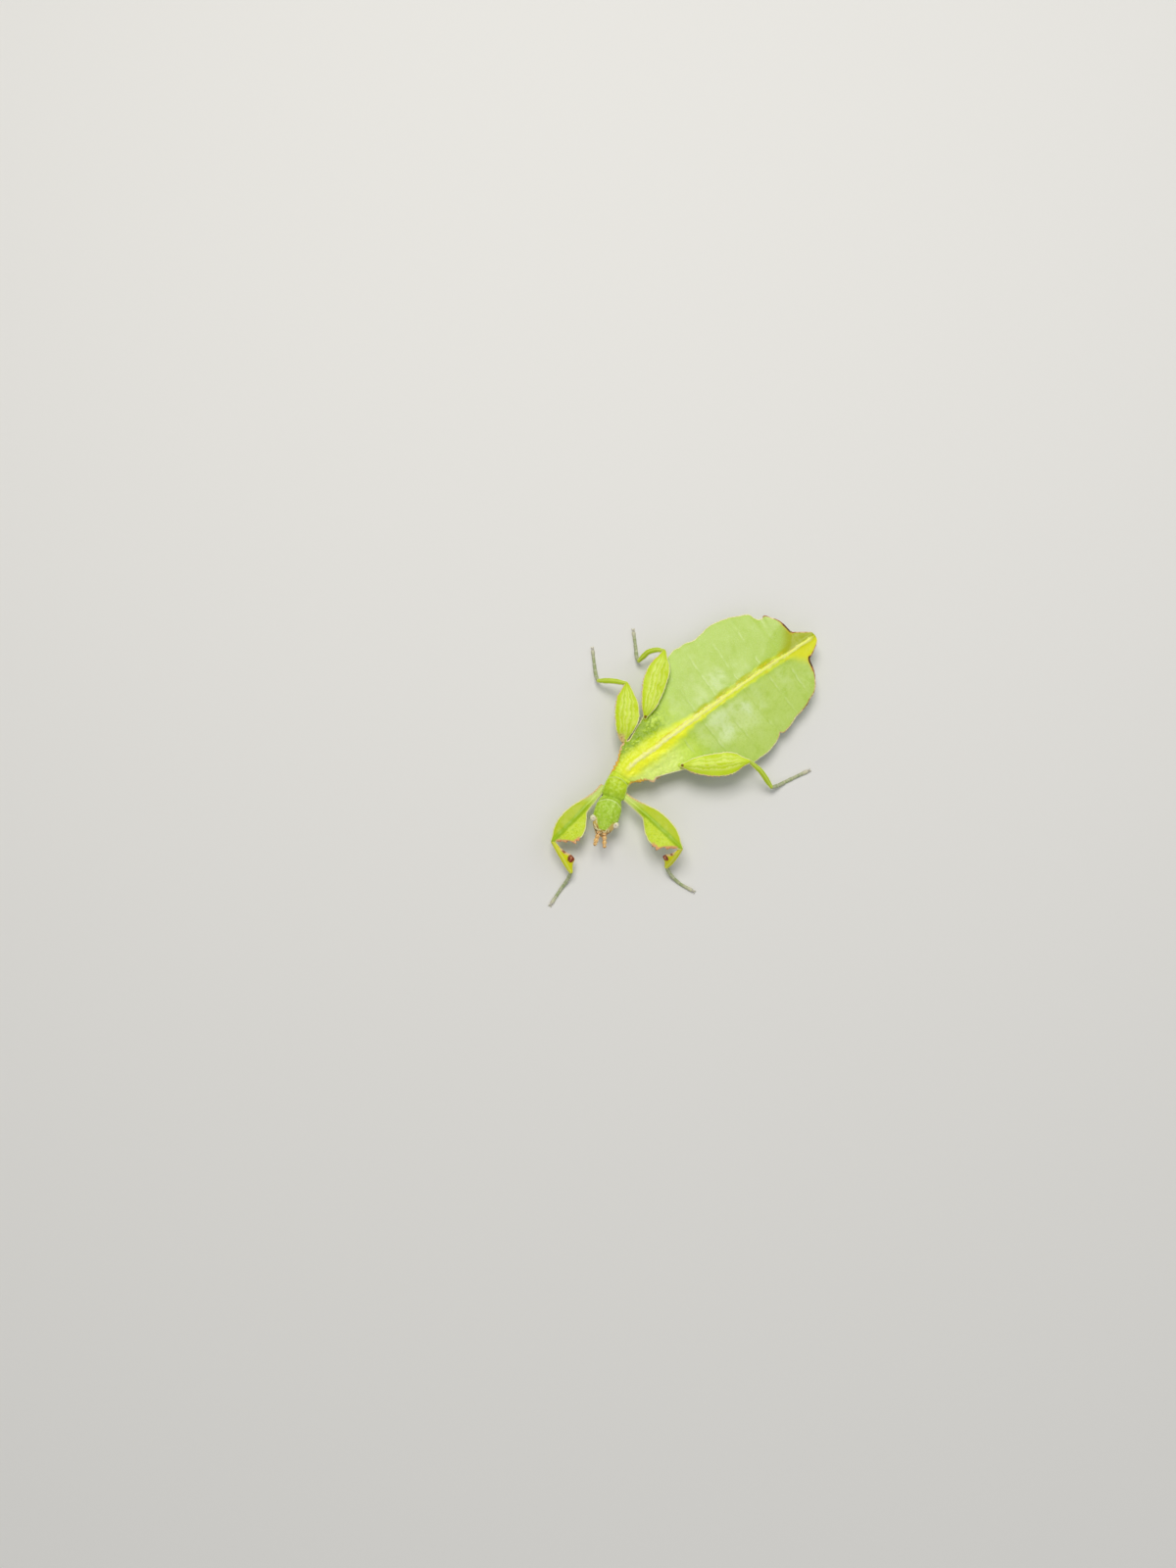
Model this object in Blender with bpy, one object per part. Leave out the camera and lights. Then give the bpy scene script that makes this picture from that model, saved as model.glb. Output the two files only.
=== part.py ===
"""A leaf insect at rest: a nearly grown female, life size, each part of the body a closed solid of its own.

The plan is drawn in millimetres: +Y runs along the back from the waist to the tail, +X to the insect's left
and +Z up from the floor. The meshes are in metres, with the origin on the floor under the middle of the box.
The trunk is drawn whole along its spine and then parted, and so is each leg, so parts meet face to face.
"""

import math
from collections import namedtuple

import bmesh
import bpy
from mathutils import Matrix, Vector

MM = 0.001
UP = Vector((0, 0, 1))
GAP = 0.3  # clearance between parts that touch
MIDDLE = Vector((0.825, 10.165, 0.0))  # middle of the whole box on the floor, in the plan

# Borders of the trunk's parts, measured along the spine from the front of the face
FACE = 1.0
HEAD_END = 7.8
PRONOTUM_END = 12.6
MESOTHORAX_END = 18.6
METATHORAX_END = 24.9
TAIL_START = 59.8
BODY_LENGTH = 63.5

# The spine seen from above: distance from the front of the face, x, y. The head looks to the insect's left.
SPINE = (
    (-0.5, 7.3, -12.1),
    (0.0, 7.0, -11.7),
    (5.0, 4.1, -7.6),
    (HEAD_END, 2.5, -5.3),
    (10.2, 1.2, -3.3),
    (PRONOTUM_END, 0.1, -1.2),
    (14.5, -0.5, 0.6),
    (18.0, -0.8, 4.1),
    (38.0, -0.8, 24.1),
    (52.0, -0.6, 38.1),
    (58.0, -0.2, 44.1),
    (BODY_LENGTH, 0.0, 49.6),
)

# Distance along the spine, and from the spine to the right margin. The leaf is bitten near its tip.
RIGHT_MARGIN = (
    (0.0, 0.9),
    (0.7, 1.6),
    (2.0, 2.35),
    (3.6, 2.8),
    (5.2, 2.85),
    (6.6, 2.65),
    (7.3, 2.4),
    (HEAD_END, 2.1),
    (8.6, 2.55),
    (10.4, 2.65),
    (PRONOTUM_END, 2.5),
    (14.3, 2.75),
    (15.3, 3.4),
    (16.4, 4.3),
    (17.2, 4.75),
    (17.9, 4.75),
    (MESOTHORAX_END, 4.6),
    (20.4, 5.3),
    (22.8, 6.3),
    (METATHORAX_END, 7.3),
    (29.9, 10.4),
    (34.9, 13.6),
    (38.0, 14.5),
    (40.4, 14.3),
    (42.5, 13.8),
    (44.4, 14.1),
    (46.5, 14.35),
    (48.2, 14.2),
    (49.9, 13.85),
    (51.7, 13.2),
    (53.0, 12.4),
    (54.4, 11.6),
    (54.9, 10.3),
    (55.6, 9.6),
    (56.2, 9.4),
    (56.8, 9.65),
    (57.4, 9.3),
    (58.0, 8.5),
    (58.8, 7.5),
    (59.3, 6.5),
    (59.6, 5.3),
    (TAIL_START, 3.6),
    (60.7, 2.9),
    (62.4, 1.7),
    (BODY_LENGTH, 0.9),
)
# The same for the left margin
LEFT_MARGIN = (
    (0.0, 0.9),
    (0.7, 1.6),
    (2.0, 2.3),
    (3.6, 2.65),
    (5.2, 2.65),
    (6.6, 2.4),
    (7.3, 2.15),
    (HEAD_END, 1.85),
    (8.6, 2.35),
    (10.2, 2.3),
    (11.2, 2.1),
    (PRONOTUM_END, 2.4),
    (13.8, 3.35),
    (15.4, 4.0),
    (16.2, 4.4),
    (16.8, 5.3),
    (17.4, 5.7),
    (18.0, 5.5),
    (MESOTHORAX_END, 5.25),
    (20.4, 5.8),
    (22.6, 6.6),
    (METATHORAX_END, 7.6),
    (29.9, 10.4),
    (34.9, 13.6),
    (37.5, 14.7),
    (40.4, 14.7),
    (42.9, 14.2),
    (44.2, 13.8),
    (45.1, 13.3),
    (45.5, 12.8),
    (46.1, 13.25),
    (48.2, 12.9),
    (49.8, 12.3),
    (51.5, 11.85),
    (54.0, 11.3),
    (55.6, 10.6),
    (56.6, 10.0),
    (57.5, 9.1),
    (58.2, 7.8),
    (58.9, 6.4),
    (59.3, 5.1),
    (59.55, 3.8),
    (TAIL_START, 3.3),
    (60.6, 2.95),
    (61.6, 2.4),
    (62.5, 1.8),
    (63.1, 1.3),
    (BODY_LENGTH, 0.7),
)
NOTCH_DEPTH = 0.12  # where a joint between segments meets the margin
# Saw teeth on the margin of the middle thorax: their start, their pitch, and their height along the spine
WAIST_START = 12.75
WAIST_PITCH = 0.6
WAIST_TEETH = ((12.8, 0.0), (13.6, 0.3), (16.5, 0.3), (18.2, 0.0))

# Height of the trunk's middle plane over the floor, and how far its margins droop below that
HEIGHTS = (
    (0.0, 3.9),
    (5.0, 4.5),
    (HEAD_END, 4.6),
    (15.0, 4.9),
    (METATHORAX_END, 4.7),
    (38.0, 4.4),
    (52.0, 4.2),
    (BODY_LENGTH, 4.8),
)
DROOPS = ((20.0, 0.0), (30.0, 0.5), (44.0, 1.0), (55.0, 0.7), (TAIL_START, 0.1), (BODY_LENGTH, 0.0))

# Thickness above and below the middle plane at the spine
BACKS = (
    (0.0, 0.9),
    (FACE, 1.3),
    (4.6, 1.7),
    (HEAD_END, 1.1),
    (10.2, 1.4),
    (PRONOTUM_END, 1.1),
    (16.0, 1.3),
    (METATHORAX_END, 0.9),
    (40.0, 0.6),
    (BODY_LENGTH, 0.35),
)
BELLIES = (
    (0.0, 1.0),
    (FACE, 1.4),
    (4.6, 1.8),
    (HEAD_END, 1.1),
    (10.2, 1.5),
    (PRONOTUM_END, 1.2),
    (16.0, 1.7),
    (METATHORAX_END, 1.6),
    (40.0, 1.5),
    (56.0, 0.7),
    (BODY_LENGTH, 0.35),
)
RIM = 0.27  # half the thickness of a leafy margin

# How leafy a section is: 0 is a rounded body, 1 is a thin blade with a thick middle
LEAFINESS = ((PRONOTUM_END, 0.0), (17.0, 0.4), (METATHORAX_END, 0.75), (30.0, 1.0))
GUT_SHARE = 0.46  # of the half width that the gut fills in the blade
MIDRIB_HALF = 0.45
MIDRIB_RISE = 0.22
SEGMENT_JOINTS = (27.9, 33.4, 38.9, 44.6, 50.4, 55.4)
RING_RISE = 0.12  # of the low ridge behind each joint
COLLAR_RISE = 0.16  # of the arcs at the rear of the head and of the neck shield
COLLARS = (HEAD_END - 0.45, PRONOTUM_END - 0.4)
KEEL_RISE = 0.2  # of the keel along the thorax
BUD_START, BUD_END, BUD_RISE = 17.9, 24.3, 0.25  # the flat buds of the wings on the thorax

EYE_STATION = 2.8
EYE_INSET = 0.2
EYE_RADIUS = 0.72
ANTENNA_ROOT = 0.52  # from the middle of the face
ANTENNA_LENGTH = 3.4
# Distance along a feeler and its radius: a stout root and three longer beads
ANTENNA_BEADS = (
    (0.0, 0.33),
    (0.35, 0.4),
    (0.75, 0.31),
    (1.15, 0.44),
    (1.45, 0.46),
    (1.75, 0.34),
    (2.15, 0.48),
    (2.45, 0.44),
    (2.7, 0.33),
    (3.0, 0.4),
    (3.25, 0.32),
    (ANTENNA_LENGTH, 0.16),
)

CLAW_LENGTH = 1.0
SOLE = 0.22  # height of a foot's middle line over its flat sole

# Lobes of the legs: share of the way to the knee or the ankle, and the width on that side of the rib
FRONT_LOBES = {
    "fore": (
        (0.0, 0.8),
        (0.15, 0.85),
        (0.32, 1.0),
        (0.42, 2.1),
        (0.53, 3.2),
        (0.65, 3.7),
        (0.75, 3.6),
        (0.84, 2.4),
        (0.93, 1.1),
        (1.0, 0.5),
    ),
    "mid": ((0.0, 1.1), (0.08, 1.5), (0.2, 1.95), (0.5, 2.3), (0.75, 2.05), (0.87, 1.25), (1.0, 0.5)),
    "hind": (
        (0.0, 0.6),
        (0.17, 1.7),
        (0.35, 2.3),
        (0.53, 2.65),
        (0.66, 2.55),
        (0.8, 1.95),
        (0.92, 0.95),
        (1.0, 0.5),
    ),
}
REAR_LOBES = {
    "fore": (
        (0.0, 0.9),
        (0.1, 1.2),
        (0.27, 1.9),
        (0.42, 2.5),
        (0.55, 2.65),
        (0.7, 2.5),
        (0.86, 1.7),
        (0.95, 0.85),
        (1.0, 0.5),
    ),
    "mid": ((0.0, 0.55), (0.18, 1.9), (0.31, 2.6), (0.45, 2.9), (0.63, 2.65), (0.85, 1.5), (1.0, 0.5)),
    "hind": (
        (0.0, 0.55),
        (0.17, 1.6),
        (0.33, 2.05),
        (0.5, 2.3),
        (0.65, 2.4),
        (0.8, 2.0),
        (0.92, 1.0),
        (1.0, 0.5),
    ),
}
FORE_TIBIA_FRONT = (
    (0.0, 0.45),
    (0.2, 0.6),
    (0.45, 1.2),
    (0.6, 1.9),
    (0.72, 2.05),
    (0.82, 1.3),
    (0.93, 0.7),
    (1.0, 0.5),
)
TIBIA_SIDE = ((0.0, 0.45), (0.4, 0.6), (0.7, 0.62), (1.0, 0.42))
FEMUR_RIB = ((0.0, 0.5), (0.3, 0.75), (0.7, 0.7), (1.0, 0.5))  # half the thickness at the rib
TARSUS_SIDE = ((0.0, 0.4), (0.12, 0.44), (0.55, 0.4), (0.75, 0.36), (0.93, 0.44), (1.0, 0.4))
# Teeth of the fore femur: share of the way to the knee, and how far the edge stands out there
TEETH = (
    (0.68, 0.0),
    (0.705, 0.35),
    (0.735, -0.15),
    (0.775, 0.5),
    (0.815, -0.4),
    (0.84, -0.2),
    (0.87, 0.4),
    (0.9, -0.1),
    (0.92, 0.15),
    (0.945, 0.0),
)
SERRATION = 0.14  # height of the fine teeth on the edges of the other femora
SERRATION_COUNT = 20

# Each leg from its root in the thorax: the femur's points end at the knee, the tibia's at the ankle and the
# foot's at its tip. The left middle leg is tucked under the body.
Leg = namedtuple("Leg", "name pair side root femur tibia tarsus")
LEGS = (
    Leg(
        "fore_right", "fore", 1, (1.1, -5.0, 4.2),
        ((-0.2, -7.1, 4.2), (1.2, -13.8, 4.5), (2.2, -20.5, 4.5)),
        ((2.2, -20.5, 4.5), (6.0, -20.8, 3.6), (9.6, -21.2, 2.3)),
        ((9.6, -21.2, 2.3), (10.4, -22.8, 0.9), (11.2, -25.2, SOLE), (12.4, -28.5, SOLE)),
    ),
    Leg(
        "fore_left", "fore", -1, (2.6, -3.5, 4.3),
        ((4.4, -2.8, 4.4), (11.4, -1.4, 5.4), (19.15, -0.1, 6.6)),
        ((19.15, -0.1, 6.6), (19.9, -2.35, 4.7), (20.5, -4.6, 2.2)),
        ((20.5, -4.6, 2.2), (22.2, -4.7, 0.9), (24.6, -4.3, SOLE), (27.8, -2.9, SOLE)),
    ),
    Leg(
        "mid_right", "mid", 1, (-4.0, 3.0, 4.8),
        ((-5.9, 4.1, 5.0), (-8.2, 5.9, 5.8), (-15.0, 11.3, 6.1)),
        ((-15.0, 11.3, 6.1), (-17.2, 9.7, 4.6), (-19.7, 7.3, 2.1)),
        ((-19.7, 7.3, 2.1), (-21.0, 7.8, 0.9), (-22.8, 8.75, SOLE), (-26.15, 10.65, SOLE)),
    ),
    Leg(
        "mid_left", "mid", -1, (2.3, 3.1, 4.4),
        ((3.4, 3.8, 3.4), (2.8, 5.8, 2.2), (1.7, 9.6, 1.9), (0.7, 15.2, 1.9)),
        ((0.7, 15.2, 1.9), (3.8, 16.7, 1.6), (7.0, 18.2, 1.2)),
        ((7.0, 18.2, 1.2), (8.1, 19.3, 0.7), (9.2, 21.0, SOLE), (10.4, 24.4, SOLE)),
    ),
    Leg(
        "hind_right", "hind", 1, (-5.6, 9.2, 4.7),
        ((-7.3, 10.5, 5.5), (-8.7, 12.4, 6.1), (-15.9, 21.7, 6.1)),
        ((-15.9, 21.7, 6.1), (-17.2, 20.7, 5.3), (-18.05, 18.85, 3.9), (-18.0, 16.8, 2.0)),
        ((-18.0, 16.8, 2.0), (-19.0, 17.15, 0.9), (-20.6, 18.1, SOLE), (-24.2, 20.1, SOLE)),
    ),
    Leg(
        "hind_left", "hind", -1, (4.2, 9.3, 4.7),
        ((5.7, 10.6, 5.5), (7.0, 12.3, 6.1), (13.1, 22.0, 6.1)),
        ((13.1, 22.0, 6.1), (16.5, 23.0, 4.4), (20.15, 23.2, 2.0)),
        ((20.15, 23.2, 2.0), (20.65, 24.7, 0.9), (21.05, 27.0, SOLE), (22.0, 32.0, SOLE)),
    ),
)

# Colours are linear, then the roughness of the cuticle
FINISHES = {
    "head_green": ((0.50, 0.69, 0.15), 0.5),
    "thorax_green": ((0.40, 0.61, 0.06), 0.5),
    "blade_green": ((0.56, 0.70, 0.23), 0.45),
    "tail_yellow": ((0.66, 0.72, 0.06), 0.45),
    "femur_lime": ((0.60, 0.76, 0.10), 0.45),
    "fore_lime": ((0.48, 0.64, 0.06), 0.45),
    "tibia_yellow": ((0.55, 0.58, 0.05), 0.5),
    "tarsus_grey": ((0.20, 0.27, 0.09), 0.5),
    "eye_cream": ((0.82, 0.72, 0.54), 0.25),
    "mouth_tan": ((0.61, 0.38, 0.13), 0.55),
}


def finish(name):
    """The named material, made the first time it is asked for."""
    if name in bpy.data.materials:
        return bpy.data.materials[name]
    colour, roughness = FINISHES[name]
    material = bpy.data.materials.new(name)
    material.use_nodes = True
    shader = material.node_tree.nodes["Principled BSDF"]
    shader.inputs["Base Color"].default_value = (*colour, 1.0)
    shader.inputs["Roughness"].default_value = roughness
    shader.inputs["Metallic"].default_value = 0.0
    return material


def smooth(table, at, column=1):
    """A value between the rows of a table, along a curve that doesn't swing past them."""
    if at <= table[0][0]:
        return table[0][column]
    if at >= table[-1][0]:
        return table[-1][column]
    high = next(i for i, row in enumerate(table) if row[0] > at)
    rises = [(b[column] - a[column]) / (b[0] - a[0]) for a, b in zip(table, table[1:])]

    def slope(i):
        """Slope at row i: none at a peak, else the harmonic mean of its neighbours'."""
        if i == 0 or i == len(rises):
            return rises[min(i, len(rises) - 1)]
        before, after = rises[i - 1], rises[i]
        return 0.0 if before * after <= 0 else 2 * before * after / (before + after)

    low = high - 1
    span = table[high][0] - table[low][0]
    t = (at - table[low][0]) / span
    start, end = table[low][column], table[high][column]
    return (
        start * (1 + 2 * t) * (1 - t) ** 2
        + span * slope(low) * t * (1 - t) ** 2
        + end * t * t * (3 - 2 * t)
        - span * slope(high) * t * t * (1 - t)
    )


def skin(name, rings, material="thorax_green", cutter=False):
    """A closed object over rings of the same number of points, with a flat face on each end."""
    mesh = bmesh.new()
    rows = [[mesh.verts.new((point - MIDDLE) * MM) for point in ring] for ring in rings]
    for low, high in zip(rows, rows[1:]):
        for a, b, c, d in zip(low, low[1:] + low[:1], high[1:] + high[:1], high):
            mesh.faces.new((a, b, c, d))
    mesh.faces.new(reversed(rows[0]))
    mesh.faces.new(rows[-1])
    bmesh.ops.recalc_face_normals(mesh, faces=mesh.faces)
    bmesh.ops.triangulate(mesh, faces=mesh.faces)
    data = bpy.data.meshes.new(name)
    mesh.to_mesh(data)
    mesh.free()
    body = bpy.data.objects.new(name, data)
    data.materials.append(finish(material))
    body.hide_render = cutter
    body.display_type = "WIRE" if cutter else "TEXTURED"
    (CUTTERS if cutter else PARTS).objects.link(body)
    return body


def primitive(name, make, matrix, **sizes):
    """An object in the cutters' collection from one of bmesh's own shapes, placed in the plan."""
    mesh = bmesh.new()
    make(mesh, matrix=Matrix.Scale(MM, 4) @ Matrix.Translation(-MIDDLE) @ matrix, **sizes)
    data = bpy.data.meshes.new(name)
    mesh.to_mesh(data)
    mesh.free()
    piece = bpy.data.objects.new(name, data)
    piece.hide_render = True
    piece.display_type = "WIRE"
    CUTTERS.objects.link(piece)
    return piece


def join(body, pieces, operation, solver="EXACT"):
    """One Boolean of the body with all the pieces, after which they are removed."""
    group = bpy.data.collections.new(f"{body.name}_pieces")
    bpy.context.scene.collection.children.link(group)
    for piece in pieces:
        CUTTERS.objects.unlink(piece)
        group.objects.link(piece)
    modifier = body.modifiers.new(operation.lower(), "BOOLEAN")
    modifier.operation = operation
    modifier.operand_type = "COLLECTION"
    modifier.collection = group
    modifier.solver = solver
    bpy.context.view_layer.update()
    evaluated = body.evaluated_get(bpy.context.evaluated_depsgraph_get())
    joined = bpy.data.meshes.new_from_object(evaluated)
    body.modifiers.clear()
    body.data = joined
    for piece in pieces:
        bpy.data.objects.remove(piece)
    bpy.data.collections.remove(group)


def spine_at(station):
    """A point of the spine, the way towards the tail and the way to the insect's left."""
    here = Vector((smooth(SPINE, station, 1), smooth(SPINE, station, 2), smooth(HEIGHTS, station)))
    ahead = Vector((smooth(SPINE, station + 0.2, 1), smooth(SPINE, station + 0.2, 2), 0.0))
    behind = Vector((smooth(SPINE, station - 0.2, 1), smooth(SPINE, station - 0.2, 2), 0.0))
    along = (ahead - behind).normalized()
    return here, along, Vector((along.y, -along.x, 0.0))


def bell(distance, half):
    """1 at no distance, falling to 0 on both sides."""
    return math.exp(-((distance / half) ** 2))


def saw(turns):
    """0 at every whole number and 1 midway between."""
    return 1 - 2 * abs(turns % 1.0 - 0.5)


def margin(station, side):
    """From the spine to the margin on side -1, the right, or 1, the left, with its notches and teeth."""
    width = smooth(RIGHT_MARGIN if side < 0 else LEFT_MARGIN, station)
    width -= NOTCH_DEPTH * sum(max(0.0, 1 - abs(station - joint) / 0.8) for joint in SEGMENT_JOINTS)
    return width + smooth(WAIST_TEETH, station) * (saw((station - WAIST_START) / WAIST_PITCH) - 0.5)


def relief(station, offset, share, leafy):
    """What stands out of the back: midrib, ridges at the joints, collars, keel and the buds of the wings."""
    rise = MIDRIB_RISE * leafy * bell(offset, MIDRIB_HALF)
    inside = 1 - share**6
    rise += RING_RISE * inside * sum(bell(station - joint, 0.4) for joint in SEGMENT_JOINTS)
    rise += COLLAR_RISE * inside * sum(bell(station - collar, 0.35) for collar in COLLARS)
    thoracic = smooth(((PRONOTUM_END, 0.0), (15.0, 1.0), (METATHORAX_END, 1.0), (29.0, 0.0)), station)
    rise += KEEL_RISE * thoracic * bell(offset, 0.7)
    t = (station - BUD_START) / (BUD_END - BUD_START)
    if 0 < t < 1:
        half = 0.3 + 1.25 * math.sin(math.pi * (0.2 + 0.8 * t)) ** 0.7
        off_middle = min(1.0, abs(abs(offset) - 2.0 - 0.7 * t) / half)
        rise += BUD_RISE * (1 - off_middle**4) * min(1.0, 8 * (1 - t))
    return rise


def trunk_point(station, offset, top):
    """The point of the trunk's surface at an offset to the insect's left of the spine."""
    here, _, left = spine_at(station)
    share = min(1.0, abs(offset) / margin(station, math.copysign(1, offset)))
    leafy = smooth(LEAFINESS, station)
    thick = smooth(BACKS if top else BELLIES, station)
    blade = 0.5 + 0.5 * math.cos(math.pi * min(1.0, share / GUT_SHARE))
    swell = (1 - leafy) * math.sqrt(1 - share**2) + leafy * blade
    edge = RIM * leafy * math.sqrt(1 - share**6)
    rise = edge + (thick - RIM * leafy) * swell
    if top:
        rise += relief(station, offset, share, leafy)
    droop = smooth(DROOPS, station) * share**2
    return here + left * offset + Vector((0, 0, (rise if top else -rise) - droop))


def trunk_ring(station, over, under, rib=()):
    """A section of the trunk: shares of its width over and under it, and distances from the spine."""
    widths = {side: margin(station, side) for side in (-1, 1)}
    room = 0.3 * min(widths.values()) / max(1, len(rib))
    beside = [min(distance, room * (i + 1)) for i, distance in enumerate(rib)]
    right = [-share * widths[-1] for share in over] + [-distance for distance in reversed(beside)]
    left = beside + [share * widths[1] for share in reversed(over)]
    below = [share * widths[1] for share in under] + [0.0]
    below += [-share * widths[-1] for share in reversed(under)]
    ring = [trunk_point(station, offset, True) for offset in right + [0.0] + left]
    return ring + [trunk_point(station, offset, False) for offset in below]


def stations(start, end, count, extra=()):
    """Even stations between two borders, half the clearance from each, with extra ones among them."""
    first, last = start + GAP / 2, end - GAP / 2
    even = [first + (last - first) * i / (count - 1) for i in range(count)]
    kept = [s for s in even if s in (first, last) or all(abs(s - other) > 0.2 for other in extra)]
    return sorted(kept + [other for other in extra if first + 0.1 < other < last - 0.1])


ROUND_OVER = (1.0, 0.93, 0.8, 0.64, 0.48, 0.33, 0.17)
ROUND_UNDER = (0.88, 0.62, 0.32)
BLADE_OVER = (1.0, 0.95, 0.8, 0.62, 0.46, 0.3)
BLADE_UNDER = (0.95, 0.72, 0.46, 0.22)
RIB_BESIDE = (0.45, 1.1)


def head():
    """The head capsule, flat where the mouthparts and feelers meet it, with a socket for each eye."""
    along = stations(FACE - GAP / 2, HEAD_END, 14, (COLLARS[0],))
    body = skin("head", [trunk_ring(s, ROUND_OVER, ROUND_UNDER) for s in along], "head_green")
    sockets = []
    for side in (-1, 1):
        place, ball = Matrix.Translation(eye_centre(side)), bmesh.ops.create_uvsphere
        sizes = {"u_segments": 14, "v_segments": 10, "radius": EYE_RADIUS + GAP}
        sockets.append(primitive("socket", ball, place, **sizes))
    join(body, sockets, "DIFFERENCE")


def eye_centre(side):
    """The eyes stand on the widest part of the face, a little above its middle."""
    here, _, left = spine_at(EYE_STATION)
    return here + left * side * (margin(EYE_STATION, side) - EYE_INSET) + Vector((0, 0, 0.4))


def eyes():
    """Two round eyes."""
    for side, name in ((-1, "eye_right"), (1, "eye_left")):
        centre = eye_centre(side)
        rings = []
        for i in range(1, 10):
            turn = math.pi * i / 10
            middle = centre + Vector((0, 0, EYE_RADIUS * math.cos(turn)))
            around = [2 * math.pi * j / 14 for j in range(14)]
            radius = EYE_RADIUS * math.sin(turn)
            rings.append([middle + radius * Vector((math.cos(a), math.sin(a), 0)) for a in around])
        skin(name, rings, "eye_cream")


def tube(centres, sides, heights, around=10):
    """Oval rings on a route, square to it."""
    rings = []
    for i, centre in enumerate(centres):
        along = centres[min(i + 1, len(centres) - 1)] - centres[max(i - 1, 0)]
        left = UP.cross(along).normalized()
        up = along.cross(left).normalized()
        turns = [2 * math.pi * j / around for j in range(around)]
        rings.append([centre + left * sides[i] * math.cos(a) + up * heights[i] * math.sin(a) for a in turns])
    return rings


def feelers():
    """Two short beaded feelers on the front of the head, which part a little and lean to the left."""
    here, along, left = spine_at(FACE)
    for side, name in ((-1, "antenna_right"), (1, "antenna_left")):
        root = here + left * side * ANTENNA_ROOT + Vector((0, 0, 0.6)) - along * (GAP - 0.02)
        ahead = (-along + left * (0.155 * side + 0.175) + Vector((0, 0, 0.05))).normalized()
        centres = [root + ahead * distance for distance, _ in ANTENNA_BEADS]
        sides = [radius for _, radius in ANTENNA_BEADS]
        rings = tube(centres, sides, [0.85 * radius for radius in sides], around=8)
        skin(name, rings, "mouth_tan")


def mouthparts():
    """Lip and jaws, under the feelers and in front of the face."""
    here, along, left = spine_at(FACE)
    rings = []
    for ahead, half, low, high in (
        (0.3, 1.55, -1.15, -0.1),
        (0.75, 1.35, -1.1, -0.1),
        (1.15, 0.95, -0.95, -0.25),
        (1.4, 0.45, -0.7, -0.4),
    ):
        middle = here - along * ahead + Vector((0, 0, (low + high) / 2))
        turns = [2 * math.pi * j / 14 for j in range(14)]
        tall = (high - low) / 2
        rings.append([middle + left * half * math.cos(a) + UP * tall * math.sin(a) for a in turns])
    skin("mouthparts", rings, "mouth_tan")


def thorax():
    """Neck shield, middle and rear thorax, with the roots of the legs joined to them."""
    teeth_at = [WAIST_START + WAIST_PITCH / 2 * i for i in range(1, 19)]
    for name, pair, colour, start, end, extra in (
        ("pronotum", "fore", "head_green", HEAD_END, PRONOTUM_END, (COLLARS[1],)),
        ("mesothorax", "mid", "thorax_green", PRONOTUM_END, MESOTHORAX_END, teeth_at),
        ("metathorax", "hind", "thorax_green", MESOTHORAX_END, METATHORAX_END, (BUD_END - 0.25, BUD_END)),
    ):
        along = stations(start, end, 10 if pair == "fore" else 13, extra)
        body = skin(name, [trunk_ring(s, ROUND_OVER, ROUND_UNDER) for s in along], colour)
        join(body, [coxa(plan) for plan in LEGS if plan.pair == pair], "UNION")


def coxa(plan):
    """The peg that carries a leg, cut flat towards the femur."""
    root, hip = Vector(plan.root), Vector(plan.femur[0])
    heading, normal = hip_joint(plan)
    centres = [root, (root + hip) / 2, hip]
    rings = tube(centres, [0.75, 0.7, 0.62], [0.65, 0.55, 0.5])
    rings[-1] = mitred(rings[-1], heading, hip - normal * GAP, normal)
    return skin("coxa", rings, cutter=True)


def hip_joint(plan):
    """The way of the peg, and the way across the joint between it and the femur."""
    heading = (Vector(plan.femur[0]) - Vector(plan.root)).normalized()
    femur_start = (Vector(plan.femur[1]) - Vector(plan.femur[0])).normalized()
    return heading, (heading + femur_start).normalized()


def abdomen():
    """The leaf-like abdomen, with its raised midrib and its segments, and the lobe at the tail."""
    extra = [joint + step for joint in SEGMENT_JOINTS for step in (-0.45, 0.0, 0.45)]
    extra += [45.1, 45.5, 54.4, 54.9, 56.3, 56.9, 57.6, 58.2, 58.8, 59.2]
    along = stations(METATHORAX_END, TAIL_START, 24, extra)
    skin("abdomen", [trunk_ring(s, BLADE_OVER, BLADE_UNDER, RIB_BESIDE) for s in along], "blade_green")
    along = stations(TAIL_START, BODY_LENGTH, 7)
    skin("tail", [trunk_ring(s, BLADE_OVER, BLADE_UNDER, RIB_BESIDE) for s in along], "tail_yellow")


def route(points, shares):
    """Centres on a smooth line through the points, at shares of its length, and the way it takes at each."""
    points = [Vector(point) for point in points]
    table = [(0.0, *points[0])]
    for before, after in zip(points, points[1:]):
        table.append((table[-1][0] + (after - before).length, *after))
    length = table[-1][0]

    def at(distance):
        return Vector(smooth(table, min(max(distance, 0.0), length), column) for column in (1, 2, 3))

    ways = [(at(share * length + 0.3) - at(share * length - 0.3)).normalized() for share in shares]
    return [at(share * length) for share in shares], ways


def mitred(ring, way, border, normal):
    """Slides the points of an end ring along the limb to the border plane of the joint."""
    return [point + way * ((border - point).dot(normal) / way.dot(normal)) for point in ring]


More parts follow.
